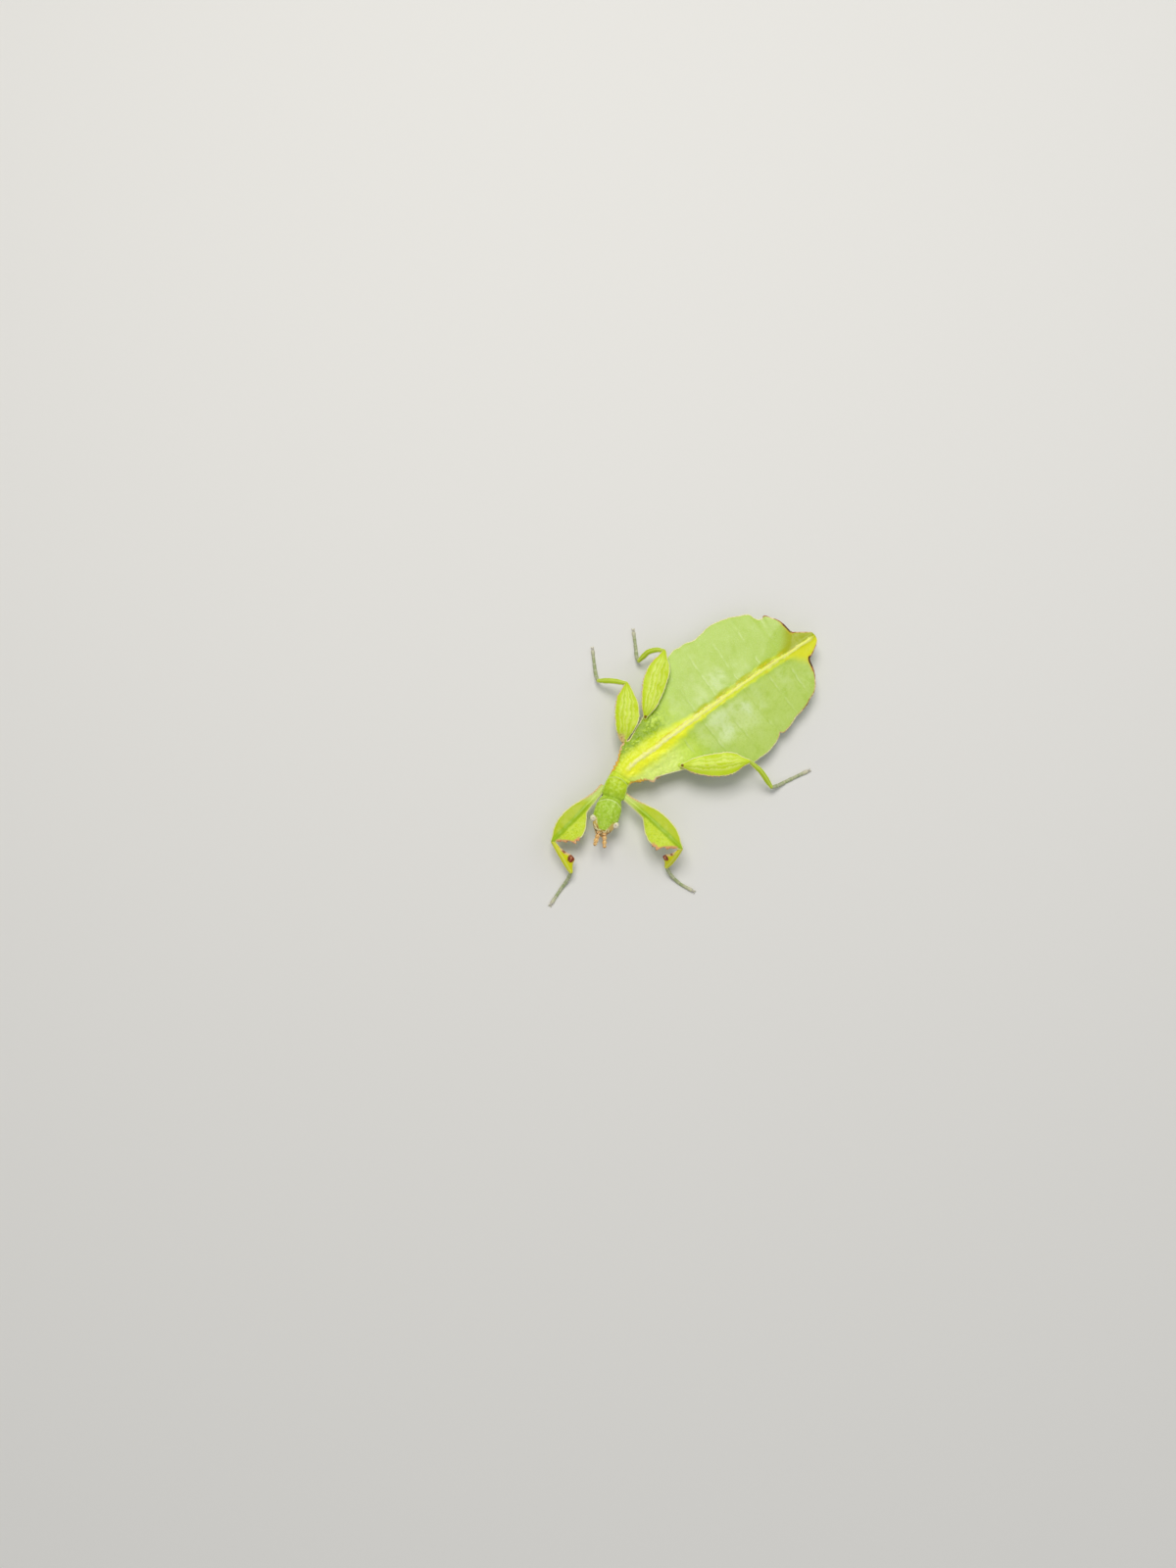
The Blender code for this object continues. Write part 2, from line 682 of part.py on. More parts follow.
def lobe_ring(centre, way, front, rear, rib, side, across=(1.0, 0.86, 0.5, 0.2)):
    """A section of a leafy limb: thin at its two edges and thickest at the rib between them."""
    left = UP.cross(way).normalized()
    up = way.cross(left).normalized()
    edge = min(RIM, 0.6 * rib)

    def point(share, facing):
        flat = 0.0 if abs(share) == 1.0 else edge + (rib - edge) * (1 - abs(share)) ** 1.6
        return centre + left * side * share * (front if share > 0 else rear) + up * facing * flat

    shares = [*across, 0.0] + [-share for share in across[::-1]]
    over = [point(share, 1) for share in shares]
    return over + [point(share, -1) for share in shares[-2:0:-1]]


def between(table, at):
    """A value between the rows of a table, along straight lines."""
    for (before, low), (after, high) in zip(table, table[1:]):
        if before <= at <= after:
            return low + (high - low) * (at - before) / (after - before)
    return 0.0


def femur_shares(pair):
    """A ring at each tip and foot of a tooth, and even ones where there are none."""
    if pair != "fore":
        return [i / (2 * SERRATION_COUNT) for i in range(2 * SERRATION_COUNT + 1)]
    even = [i / 17 for i in range(18)]
    toothed = [share for share, _ in TEETH]
    return sorted([share for share in even if not toothed[0] - 0.02 < share < toothed[-1] + 0.02] + toothed)


def femur_edges(pair, share):
    """Widths of the front and the rear lobe, with their teeth."""
    front, rear = smooth(FRONT_LOBES[pair], share), smooth(REAR_LOBES[pair], share)
    if pair == "fore":
        return front + between(TEETH, share), rear
    fine = SERRATION * (saw(share * SERRATION_COUNT) - 0.5) * min(1.0, 8 * share, 8 * (1 - share))
    return front + fine, rear + 0.4 * fine


def leg(plan):
    """Femur, tibia and tarsus, drawn as one limb and parted at mitred joints."""
    knee, ankle = Vector(plan.femur[-1]), Vector(plan.tibia[-1])
    femur_end = (knee - Vector(plan.femur[-2])).normalized()
    tibia_start = (Vector(plan.tibia[1]) - knee).normalized()
    tibia_end = (ankle - Vector(plan.tibia[-2])).normalized()
    tarsus_start = (Vector(plan.tarsus[1]) - ankle).normalized()
    knee_normal = (femur_end + tibia_start).normalized()
    ankle_normal = (tibia_end + tarsus_start).normalized()

    shares = femur_shares(plan.pair)
    centres, ways = route(plan.femur, shares)
    rings = []
    for centre, way, share in zip(centres, ways, shares):
        front, rear = femur_edges(plan.pair, share)
        rings.append(lobe_ring(centre, way, front, rear, smooth(FEMUR_RIB, share), plan.side))
    rings[0] = mitred(rings[0], ways[0], Vector(plan.femur[0]), hip_joint(plan)[1])
    rings[-1] = mitred(rings[-1], ways[-1], knee - knee_normal * GAP / 2, knee_normal)
    skin(f"femur_{plan.name}", rings, "fore_lime" if plan.pair == "fore" else "femur_lime")

    shares = [i / 9 for i in range(10)]
    centres, ways = route(plan.tibia, shares)
    rings = []
    for centre, way, share in zip(centres, ways, shares):
        front = smooth(FORE_TIBIA_FRONT if plan.pair == "fore" else TIBIA_SIDE, share)
        rear, rib = smooth(TIBIA_SIDE, share), 0.48 - 0.12 * share
        rings.append(lobe_ring(centre, way, front, rear, rib, plan.side, (1.0, 0.75, 0.4)))
    rings[0] = mitred(rings[0], ways[0], knee + knee_normal * GAP / 2, knee_normal)
    rings[-1] = mitred(rings[-1], ways[-1], ankle - ankle_normal * GAP / 2, ankle_normal)
    skin(f"tibia_{plan.name}", rings, "tibia_yellow" if plan.pair == "fore" else "femur_lime")

    shares = [i / 13 for i in range(14)]
    centres, ways = route(plan.tarsus, shares)
    sides = [smooth(TARSUS_SIDE, share) for share in shares]
    rings = tube(centres, sides, [0.9 * side for side in sides], around=8)
    rings[0] = mitred(rings[0], ways[0], ankle + ankle_normal * GAP / 2, ankle_normal)
    rings = [[Vector((p.x, p.y, max(0.0, p.z))) for p in ring] for ring in rings]
    foot = skin(f"tarsus_{plan.name}", rings, "tarsus_grey")
    join(foot, [claw(centres[-1], ways[-1], turn) for turn in (-0.5, 0.5)], "UNION", "MANIFOLD")


def claw(tip, way, turn):
    """One of the two hooks at a tip, turned to its side of the way ahead."""
    heading = Vector((way.x, way.y, 0)).normalized()
    heading.rotate(Matrix.Rotation(turn, 3, "Z"))
    spin = heading.to_track_quat("Z", "Y").to_matrix().to_4x4()
    start = tip - heading * 0.35 + Vector((0, 0, 0.13))
    place = Matrix.Translation(start + heading * CLAW_LENGTH / 2) @ spin
    cone, radii = bmesh.ops.create_cone, {"radius1": 0.24, "radius2": 0.1}
    return primitive("claw", cone, place, cap_ends=True, segments=7, depth=CLAW_LENGTH, **radii)


def clear():
    """Empties the scene that Blender opens with."""
    for thing in list(bpy.data.objects):
        bpy.data.objects.remove(thing)
    for group in list(bpy.data.collections):
        bpy.data.collections.remove(group)


clear()
PARTS = bpy.data.collections.new("Leaf insect")
CUTTERS = bpy.data.collections.new("Cutters")
bpy.context.scene.collection.children.link(PARTS)
bpy.context.scene.collection.children.link(CUTTERS)

head()
eyes()
feelers()
mouthparts()
thorax()
abdomen()
for one in LEGS:
    leg(one)
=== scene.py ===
"""A leaf insect at rest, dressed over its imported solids: a still, life-size model on a plain pale floor."""

import functools
import math

import bmesh
import bpy
from mathutils import Matrix, Vector, kdtree, noise


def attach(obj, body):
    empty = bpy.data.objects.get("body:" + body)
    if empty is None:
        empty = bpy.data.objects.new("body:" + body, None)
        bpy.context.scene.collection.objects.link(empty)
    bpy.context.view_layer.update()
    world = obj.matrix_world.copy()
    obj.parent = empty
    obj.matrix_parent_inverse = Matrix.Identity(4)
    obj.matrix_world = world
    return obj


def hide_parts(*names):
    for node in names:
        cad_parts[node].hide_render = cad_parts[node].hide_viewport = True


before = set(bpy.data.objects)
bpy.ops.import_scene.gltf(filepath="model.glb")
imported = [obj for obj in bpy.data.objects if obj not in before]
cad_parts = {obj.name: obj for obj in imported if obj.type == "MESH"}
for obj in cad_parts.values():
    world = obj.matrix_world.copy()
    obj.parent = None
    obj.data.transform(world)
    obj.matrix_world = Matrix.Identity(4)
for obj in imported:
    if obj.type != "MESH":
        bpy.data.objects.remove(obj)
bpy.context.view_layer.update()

# Trunk
# The head, neck shield, thorax and leaf-like abdomen are one thin, tough skin with soft tissue inside. The
# abdomen is pressed flat to the shape of a leaf, with the gut as a raised midrib and a pale hard rim all round.
# It is drawn in millimetres in the same plan as the solids: +Y to the tail, +X to the insect's left, +Z up.

MM = 0.001
UP = Vector((0, 0, 1))
MIDDLE = Vector((0.825, 10.165, 0.0))  # middle of the whole box on the floor, in the plan
HEAD_END = 7.8
PRONOTUM_END = 12.6
MESOTHORAX_END = 18.6
METATHORAX_END = 24.9
TAIL_START = 59.8
BODY_LENGTH = 63.5
FACE = 1.0

# Distance from the front of the face along the spine, x, y
SPINE = (
    (-0.5, 7.3, -12.1),
    (0.0, 7.0, -11.7),
    (5.0, 4.1, -7.6),
    (HEAD_END, 2.5, -5.3),
    (10.2, 1.2, -3.3),
    (PRONOTUM_END, 0.1, -1.2),
    (14.5, -0.5, 0.6),
    (18.0, -0.8, 4.1),
    (38.0, -0.8, 24.1),
    (52.0, -0.6, 38.1),
    (58.0, -0.2, 44.1),
    (BODY_LENGTH, 0.0, 49.6),
)
# Distance along the spine, and from the spine to the right margin. The leaf is bitten near its tip.
RIGHT_MARGIN = (
    (0.0, 0.9),
    (0.7, 1.6),
    (2.0, 2.35),
    (3.6, 2.8),
    (5.2, 2.85),
    (6.6, 2.65),
    (7.3, 2.4),
    (HEAD_END, 2.1),
    (8.6, 2.55),
    (10.4, 2.65),
    (PRONOTUM_END, 2.5),
    (14.3, 2.75),
    (15.3, 3.4),
    (16.4, 4.3),
    (17.2, 4.75),
    (17.9, 4.75),
    (MESOTHORAX_END, 4.6),
    (20.4, 5.3),
    (22.8, 6.3),
    (METATHORAX_END, 7.3),
    (29.9, 10.4),
    (34.9, 13.6),
    (38.0, 14.5),
    (40.4, 14.3),
    (42.5, 13.8),
    (44.4, 14.1),
    (46.5, 14.35),
    (48.2, 14.2),
    (49.9, 13.85),
    (51.7, 13.2),
    (53.0, 12.4),
    (54.4, 11.6),
    (54.9, 10.3),
    (55.6, 9.6),
    (56.2, 9.4),
    (56.8, 9.65),
    (57.4, 9.3),
    (58.0, 8.5),
    (58.8, 7.5),
    (59.3, 6.5),
    (59.6, 5.3),
    (TAIL_START, 3.6),
    (60.7, 2.9),
    (62.4, 1.7),
    (BODY_LENGTH, 0.9),
)
# The same for the left margin
LEFT_MARGIN = (
    (0.0, 0.9),
    (0.7, 1.6),
    (2.0, 2.3),
    (3.6, 2.65),
    (5.2, 2.65),
    (6.6, 2.4),
    (7.3, 2.15),
    (HEAD_END, 1.85),
    (8.6, 2.35),
    (10.2, 2.3),
    (11.2, 2.1),
    (PRONOTUM_END, 2.4),
    (13.8, 3.35),
    (15.4, 4.0),
    (16.2, 4.4),
    (16.8, 5.3),
    (17.4, 5.7),
    (18.0, 5.5),
    (MESOTHORAX_END, 5.25),
    (20.4, 5.8),
    (22.6, 6.6),
    (METATHORAX_END, 7.6),
    (29.9, 10.4),
    (34.9, 13.6),
    (37.5, 14.7),
    (40.4, 14.7),
    (42.9, 14.2),
    (44.2, 13.8),
    (45.1, 13.3),
    (45.5, 12.8),
    (46.1, 13.25),
    (48.2, 12.9),
    (49.8, 12.3),
    (51.5, 11.85),
    (54.0, 11.3),
    (55.6, 10.6),
    (56.6, 10.0),
    (57.5, 9.1),
    (58.2, 7.8),
    (58.9, 6.4),
    (59.3, 5.1),
    (59.55, 3.8),
    (TAIL_START, 3.3),
    (60.6, 2.95),
    (61.6, 2.4),
    (62.5, 1.8),
    (63.1, 1.3),
    (BODY_LENGTH, 0.7),
)
NOTCH_DEPTH = 0.12  # where a joint between segments meets the margin
# Saw teeth on the margin of the middle thorax: their start, their pitch, and their height along the spine
WAIST_START = 12.75
WAIST_PITCH = 0.6
WAIST_TEETH = ((12.8, 0.0), (13.6, 0.3), (16.0, 0.26), (16.9, 0.05), (18.2, 0.0))
# Height of the trunk's middle plane over the floor, and how far its margins droop below that
HEIGHTS = (
    (0.0, 3.9),
    (5.0, 4.5),
    (HEAD_END, 4.6),
    (15.0, 4.9),
    (METATHORAX_END, 4.7),
    (38.0, 4.4),
    (52.0, 4.2),
    (BODY_LENGTH, 4.8),
)
DROOPS = ((20.0, 0.0), (30.0, 0.5), (44.0, 1.0), (55.0, 0.7), (TAIL_START, 0.1), (BODY_LENGTH, 0.0))

# Thickness above and below the middle plane at the spine
BACKS = (
    (0.0, 0.9),
    (FACE, 1.3),
    (4.6, 1.7),
    (HEAD_END, 1.1),
    (10.2, 1.4),
    (PRONOTUM_END, 1.1),
    (16.0, 1.3),
    (METATHORAX_END, 0.9),
    (40.0, 0.6),
    (BODY_LENGTH, 0.35),
)
BELLIES = (
    (0.0, 1.0),
    (FACE, 1.4),
    (4.6, 1.8),
    (HEAD_END, 1.1),
    (10.2, 1.5),
    (PRONOTUM_END, 1.2),
    (16.0, 1.7),
    (METATHORAX_END, 1.6),
    (40.0, 1.5),
    (56.0, 0.7),
    (BODY_LENGTH, 0.35),
)
RIM = 0.27  # half the thickness of a leafy margin
LEAFINESS = ((PRONOTUM_END, 0.0), (17.0, 0.4), (METATHORAX_END, 0.75), (30.0, 1.0))
GUT_SHARE = 0.46  # of the half width that the gut fills in the blade
MIDRIB_HALF = 0.45
MIDRIB_RISE = 0.22
SEGMENT_JOINTS = (27.9, 33.4, 38.9, 44.6, 50.4, 55.4)
RING_RISE = 0.12
COLLARS = (HEAD_END - 0.45, PRONOTUM_END - 0.4)
COLLAR_RISE = 0.16
THORACIC = ((PRONOTUM_END, 0.0), (15.0, 1.0), (METATHORAX_END, 1.0), (29.0, 0.0))
KEEL_RISE = 0.2
BUD_START, BUD_END, BUD_RISE = 17.9, 24.3, 0.25  # the flat buds of the wings on the thorax


def smooth(table, at, column=1):
    """A value between the rows of a table, along a curve that doesn't swing past them."""
    if at <= table[0][0]:
        return table[0][column]
    if at >= table[-1][0]:
        return table[-1][column]
    high = next(i for i, row in enumerate(table) if row[0] > at)
    rises = [(b[column] - a[column]) / (b[0] - a[0]) for a, b in zip(table, table[1:])]

    def slope(i):
        """Slope at row i: none at a peak, else the harmonic mean of its neighbours'."""
        if i == 0 or i == len(rises):
            return rises[min(i, len(rises) - 1)]
        before, after = rises[i - 1], rises[i]
        return 0.0 if before * after <= 0 else 2 * before * after / (before + after)

    low = high - 1
    span = table[high][0] - table[low][0]
    t = (at - table[low][0]) / span
    start, end = table[low][column], table[high][column]
    return (
        start * (1 + 2 * t) * (1 - t) ** 2
        + span * slope(low) * t * (1 - t) ** 2
        + end * t * t * (3 - 2 * t)
        - span * slope(high) * t * t * (1 - t)
    )


def bell(distance, half):
    """1 at no distance, falling to 0 on both sides."""
    return math.exp(-((distance / half) ** 2))


def ramp(low, high, at):
    """0 below low, 1 above high, and smooth between them."""
    t = min(1.0, max(0.0, (at - low) / (high - low)))
    return t * t * (3 - 2 * t)


def saw(turns):
    """0 at every whole number and 1 midway between."""
    return 1 - 2 * abs(turns % 1.0 - 0.5)


def wobble(x, y, seed):
    """A smooth, repeatable unevenness between -1 and 1."""
    return noise.noise(Vector((x, y, seed * 7.3)))


def spine_at(station):
    """A point of the spine, the way towards the tail and the way to the insect's left."""
    here = Vector((smooth(SPINE, station, 1), smooth(SPINE, station, 2), smooth(HEIGHTS, station)))
    ahead = Vector((smooth(SPINE, station + 0.2, 1), smooth(SPINE, station + 0.2, 2), 0.0))
    behind = Vector((smooth(SPINE, station - 0.2, 1), smooth(SPINE, station - 0.2, 2), 0.0))
    along = (ahead - behind).normalized()
    return here, along, Vector((along.y, -along.x, 0.0))


def margin(station, side):
    """From the spine to the margin on side -1, the right, or 1, the left, with its notches, teeth and wear."""
    width = smooth(RIGHT_MARGIN if side < 0 else LEFT_MARGIN, station)
    width -= NOTCH_DEPTH * sum(max(0.0, 1 - abs(station - joint) / 0.8) for joint in SEGMENT_JOINTS)
    worn = 0.8 + 1.2 * wobble(station * 1.1, side, 5)
    width += smooth(WAIST_TEETH, station) * (saw((station - WAIST_START) / WAIST_PITCH) - 0.5) * worn
    width += 0.07 * bell(station - 17.0, 1.2) * wobble(station * 3.0, side, 6)
    blade = ramp(19.0, 27.0, station) * (1 - ramp(58.5, 59.6, station))
    return width + blade * (0.07 * wobble(station * 0.6, side, 1) + 0.05 * wobble(station * 2.5, side, 2))


@functools.cache
def section(station):
    """What the points of one section of the trunk share."""
    here, _, left = spine_at(station)
    blunt = math.sqrt(max(0.0, 1 - max(0.0, 1 - station / 0.9) ** 2))
    blunt *= math.sqrt(max(0.0, 1 - max(0.0, 1 - (BODY_LENGTH - station) / 0.35) ** 2))
    widths = {side: margin(station, side) for side in (-1.0, 1.0)}
    leafy, thoracic = smooth(LEAFINESS, station), smooth(THORACIC, station)
    collars = COLLAR_RISE * sum(bell(station - collar, 0.28) for collar in COLLARS)
    collars -= 0.3 * bell(station - HEAD_END - 0.1, 0.25) + 0.2 * bell(station - PRONOTUM_END - 0.15, 0.22)
    collars -= 0.05 * bell(station - MESOTHORAX_END - 0.1, 0.4)
    return here, left, blunt, widths, leafy, thoracic, collars


def relief(station, offset, share, leafy, thoracic):
    """What stands out of the back: midrib, ridges at the joints, keel, buds of the wings, folds and grains."""
    inside = 1 - share**8
    high = MIDRIB_RISE * leafy * bell(offset, MIDRIB_HALF) * (1 + 0.6 * wobble(station * 0.9, 0, 6))
    arched = station - 0.004 * offset**2
    for joint in SEGMENT_JOINTS:
        faint = inside * max(0.0, 0.4 + wobble(station * 0.1, offset * 0.35, 11))
        high += 0.05 * bell(arched - joint - 0.15, 0.3) * faint * ramp(0.2, 1.4, abs(offset))
        high -= 0.045 * bell(arched - joint + 0.25, 0.25) * faint
        high += 0.14 * bell(station - joint - 0.4, 0.8) * bell(abs(offset) - 1.1, 0.5)
    high += 0.13 * leafy * inside * wobble(offset * 0.25, station * 0.25, 3)
    high += 0.03 * leafy * inside * wobble(offset * 0.9, station * 0.9, 8)
    high += 0.5 * KEEL_RISE * thoracic * bell(offset, 0.5) * (1 + 0.8 * wobble(station * 0.9, 0, 7))
    high += 0.12 * thoracic * bell(abs(offset) - 1.3 - 0.09 * (station - 13), 0.4)
    t = (station - BUD_START) / (BUD_END - BUD_START)
    if 0 < t < 1:
        half = 0.3 + 1.25 * math.sin(math.pi * (0.2 + 0.8 * t)) ** 0.7
        off_middle = min(1.0, abs(abs(offset) - 2.0 - 0.7 * t) / half)
        high += BUD_RISE * (1 - off_middle**4) * min(1.0, 5 * (1 - t)) * ramp(0.0, 0.3, t)
    head = 1 - ramp(HEAD_END - 1.0, HEAD_END, station)
    high += 0.12 * head * inside * bell(abs(offset) - 0.9, 0.4) * ramp(1.5, 3.0, station)
    high -= 0.06 * head * inside * bell(offset, 0.25) * ramp(2.5, 4.0, station)
    shield = ramp(HEAD_END, HEAD_END + 0.6, station) * (1 - ramp(PRONOTUM_END - 0.6, PRONOTUM_END, station))
    high -= shield * (0.1 * bell(offset, 0.3) + 0.05 * bell(station - 10.0, 0.4) * inside)
    wrinkled = (1 - ramp(24.0, 31.0, station)) * inside
    folds = wobble(offset * 0.8, station * 0.6, 4)
    grains = 0.35 - noise.voronoi(Vector((offset * 1.9, station * 1.9, 2.0)))[0][0]
    return high + wrinkled * (0.1 * folds + 0.05 * wobble(offset * 2.1, station * 1.6, 5) + 0.1 * grains * thoracic)


def trunk_surface(station, share, top):
    """A point of the trunk at a share of its width, its distance from the spine and that from the margin."""
    here, left, blunt, widths, leafy, thoracic, collars = section(station)
    width = widths[math.copysign(1.0, share)]
    offset = share * width * blunt
    share = abs(share)
    thick = section_thickness(station, top)
    blade = 0.5 + 0.5 * math.cos(math.pi * min(1.0, share / GUT_SHARE))
    swell = (1 - leafy) * math.sqrt(max(0.0, 1 - share**2)) + leafy * blade
    edge = RIM * leafy * math.sqrt(max(0.0, 1 - share**6))
    rise = edge + (thick - RIM * leafy) * swell
    if top:
        rise += collars * (1 - share**6) + relief(station, offset, share, leafy, thoracic)
    else:
        rise -= 0.1 * (1 - share**6) * sum(bell(station - joint, 0.25) for joint in SEGMENT_JOINTS)
    droop = smooth(DROOPS, station) * share**2
    return here + left * offset + UP * ((rise if top else -rise) * blunt - droop), offset, width * (1 - share)


@functools.cache
def section_thickness(station, top):
    """Thickness over or under the middle plane at the spine."""
    return smooth(BACKS if top else BELLIES, station)


def sweep(mesh, around, along, place, facts=()):
    """Lays the rings of a sphere along a piece: place(share, turn) gives a point in the plan and its facts."""
    layers = [mesh.verts.layers.float.get(name) or mesh.verts.layers.float.new(name) for name in facts]
    made = bmesh.ops.create_uvsphere(mesh, u_segments=around, v_segments=along, radius=1.0)
    for vert in made["verts"]:
        share = round(math.acos(max(-1.0, min(1.0, vert.co.z))) / math.pi * along) / along
        point, *values = place(share, math.atan2(vert.co.y, vert.co.x))
        vert.co = (point - MIDDLE) * MM
        for layer, value in zip(layers, values):
            vert[layer] = value
    return {face for vert in made["verts"] for face in vert.link_faces}


def piece(name, mesh, materials, replaced=()):
    """The finished mesh as a smooth object that rides on the body and stands for the named solids."""
    bmesh.ops.recalc_face_normals(mesh, faces=mesh.faces)
    for face in mesh.faces:
        face.smooth = True
    data = bpy.data.meshes.new(name)
    mesh.to_mesh(data)
    mesh.free()
    made = bpy.data.objects.new(name, data)
    for material in materials:
        data.materials.append(material)
    bpy.context.scene.collection.objects.link(made)
    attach(made, "root")
    if replaced:
        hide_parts(*replaced)
    return made


class Value:
    """A number or a colour inside a material. Sums on numbers add Math nodes."""

    def __init__(self, skin, socket):
        self.skin, self.socket = skin, socket

    def sum(self, operation, *terms):
        """A Math node over the terms, which are numbers or values."""
        return self.skin.node("ShaderNodeMath", {"operation": operation}, dict(enumerate(terms)))

    def __add__(self, other):
        return self.sum("ADD", self, other)

    def __sub__(self, other):
        return self.sum("SUBTRACT", self, other)

    def __rsub__(self, other):
        return self.sum("SUBTRACT", other, self)

    def __mul__(self, other):
        return self.sum("MULTIPLY", self, other)

    def __truediv__(self, other):
        return self.sum("DIVIDE", self, other)

    def __rtruediv__(self, other):
        return self.sum("DIVIDE", other, self)

    def __pow__(self, power):
        return self.sum("POWER", self, power)

    def __abs__(self):
        return self.sum("ABSOLUTE", self)

    __radd__ = __add__
    __rmul__ = __mul__

    def between(self, low, high):
        """0 below low and 1 above high, smooth between; the other way round where low is the greater."""
        if low > high:
            return 1 - self.between(high, low)
        sockets = {"Value": self, "From Min": low, "From Max": high}
        return self.skin.node("ShaderNodeMapRange", {"interpolation_type": "SMOOTHSTEP"}, sockets)


class Skin:
    """A material for insect skin: satin, a little see-through, coloured and pitted by its own nodes."""

    def __init__(self, name, see_through=0.12, coat=0.0):
        self.material = bpy.data.materials.new(name)
        self.material.use_nodes = True
        self.tree = self.material.node_tree
        self.shader = self.tree.nodes["Principled BSDF"]
        self.shader.inputs["Subsurface Weight"].default_value = see_through
        self.shader.inputs["Subsurface Radius"].default_value = (0.8, 1.0, 0.25)
        self.shader.inputs["Subsurface Scale"].default_value = 0.0006
        self.shader.inputs["Specular IOR Level"].default_value = 0.28
        self.shader.inputs["Coat Weight"].default_value = coat
        self.shader.inputs["Coat Roughness"].default_value = 0.25

    def fill(self, socket, given):
        """Links a value to a socket, or sets the socket to a number or a colour."""
        if isinstance(given, Value):
            self.tree.links.new(given.socket, socket)
        elif isinstance(given, tuple) and len(given) == 3 and socket.type == "RGBA":
            socket.default_value = (*given, 1.0)
        else:
            socket.default_value = given

    def node(self, kind, settings, sockets, out=0):
        """A node of a kind, with its settings made first and then its sockets, and the value that comes out."""
        made = self.tree.nodes.new(kind)
        for key, setting in settings.items():
            setattr(made, key, setting)
        for key, given in sockets.items():
            self.fill(made.inputs[key], given)
        return Value(self, made.outputs[out])

    def facts(self, *names):
        """Numbers kept on each point of the mesh."""
        return [self.node("ShaderNodeAttribute", {"attribute_name": name}, {}, "Fac") for name in names]

    def place(self):
        """Where a point lies, in metres."""
        return self.node("ShaderNodeTexCoord", {}, {}, "Object")

    def flat(self, x, y):
        """A place on a flat map, from two numbers in millimetres."""
        return self.node("ShaderNodeCombineXYZ", {}, {"X": x * MM, "Y": y * MM})

    def clouds(self, size_mm, detail=3.0, at=None):
        """Soft random patches about as large as the size, from 0 to 1."""
        sockets = {"Vector": at or self.place(), "Scale": 1000.0 / size_mm, "Detail": detail}
        return self.node("ShaderNodeTexNoise", {}, sockets)

    def worms(self, size_mm, thin, at=None):
        """Winding lines, 1 along their middle."""
        return abs(self.clouds(size_mm, 1.5, at) - 0.5).between(thin, 0.0)

    def grains(self, size_mm, feature="F1"):
        """Distance from the nearest grain, or from the line between two, in a scatter of that size."""
        sockets = {"Vector": self.place(), "Scale": 1000.0 / size_mm}
        return self.node("ShaderNodeTexVoronoi", {"feature": feature}, sockets)

    def tint(self, share, under, over):
        """The colour over laid on the colour under, where share is 1."""
        sockets = {0: share, 6: under, 7: over}
        return self.node("ShaderNodeMix", {"data_type": "RGBA"}, sockets, 2)

    def shades(self, at, whole, *stops):
        """Colours along a number from 0 to whole, each stop being its place and its colour."""
        made = self.tree.nodes.new("ShaderNodeValToRGB")
        while len(made.color_ramp.elements) < len(stops):
            made.color_ramp.elements.new(1.0)
        for element, (position, colour) in zip(made.color_ramp.elements, stops):
            element.position = position / whole
            element.color = (*colour, 1.0)
        self.fill(made.inputs[0], at / whole)
        return Value(self, made.outputs[0])

    def dress(self, colour, roughness, height=None, depth_mm=0.1):
        """Colours the skin, sets its gloss and raises its relief."""
        self.fill(self.shader.inputs["Base Color"], colour)
        self.fill(self.shader.inputs["Roughness"], roughness)
        if height is not None:
            sockets = {"Strength": 1.0, "Distance": depth_mm * MM, "Height": height}
            self.fill(self.shader.inputs["Normal"], self.node("ShaderNodeBump", {}, sockets))
        return self.material


HEAD_GREEN = (0.44, 0.67, 0.04)
HEAD_PALE = (0.66, 0.82, 0.26)
NECK_GREEN = (0.44, 0.65, 0.02)
WAIST_GREEN = (0.62, 0.79, 0.02)
THORAX_GREEN = (0.57, 0.79, 0.02)
THORAX_DEEP = (0.27, 0.43, 0.001)
THORAX_PALE = (0.80, 0.96, 0.22)
BLADE_GREEN = (0.53, 0.70, 0.14)
BLADE_PALE = (0.68, 0.82, 0.34)
BLADE_DEEP = (0.41, 0.60, 0.05)
# Whitish green of the painted reflection on the blade, partly its own pale colour
BLADE_PALE_AND_REFLECTION = (0.74, 0.88, 0.48)
RIB_CREAM = (0.90, 0.92, 0.27)
RIB_YELLOW = (0.93, 0.98, 0.03)
RIB_LEMON = (0.75, 0.87, 0.03)
RIB_OLIVE = (0.47, 0.57, 0.0)
RIB_GOLD = (0.74, 0.62, 0.01)
OCHRE = (0.74, 0.47, 0.03)
TAIL_YELLOW = (0.76, 0.78, 0.02)
TAIL_OLIVE = (0.40, 0.46, 0.0)
RIM_CREAM = (0.92, 0.86, 0.50)
# Near-white: the keel's own cream brightened into a painted highlight
CREST_CREAM_AND_HIGHLIGHT = (1.0, 0.99, 0.42)
SCORCH_BROWN = (0.06, 0.018, 0.006)
SCORCH_RED = (0.40, 0.13, 0.04)
SCORCH_TAN = (0.80, 0.55, 0.28)
WAIST_ORANGE = (0.84, 0.50, 0.06)
FACE_TAN = (0.78, 0.50, 0.16)
FACE_BROWN = (0.26, 0.09, 0.03)


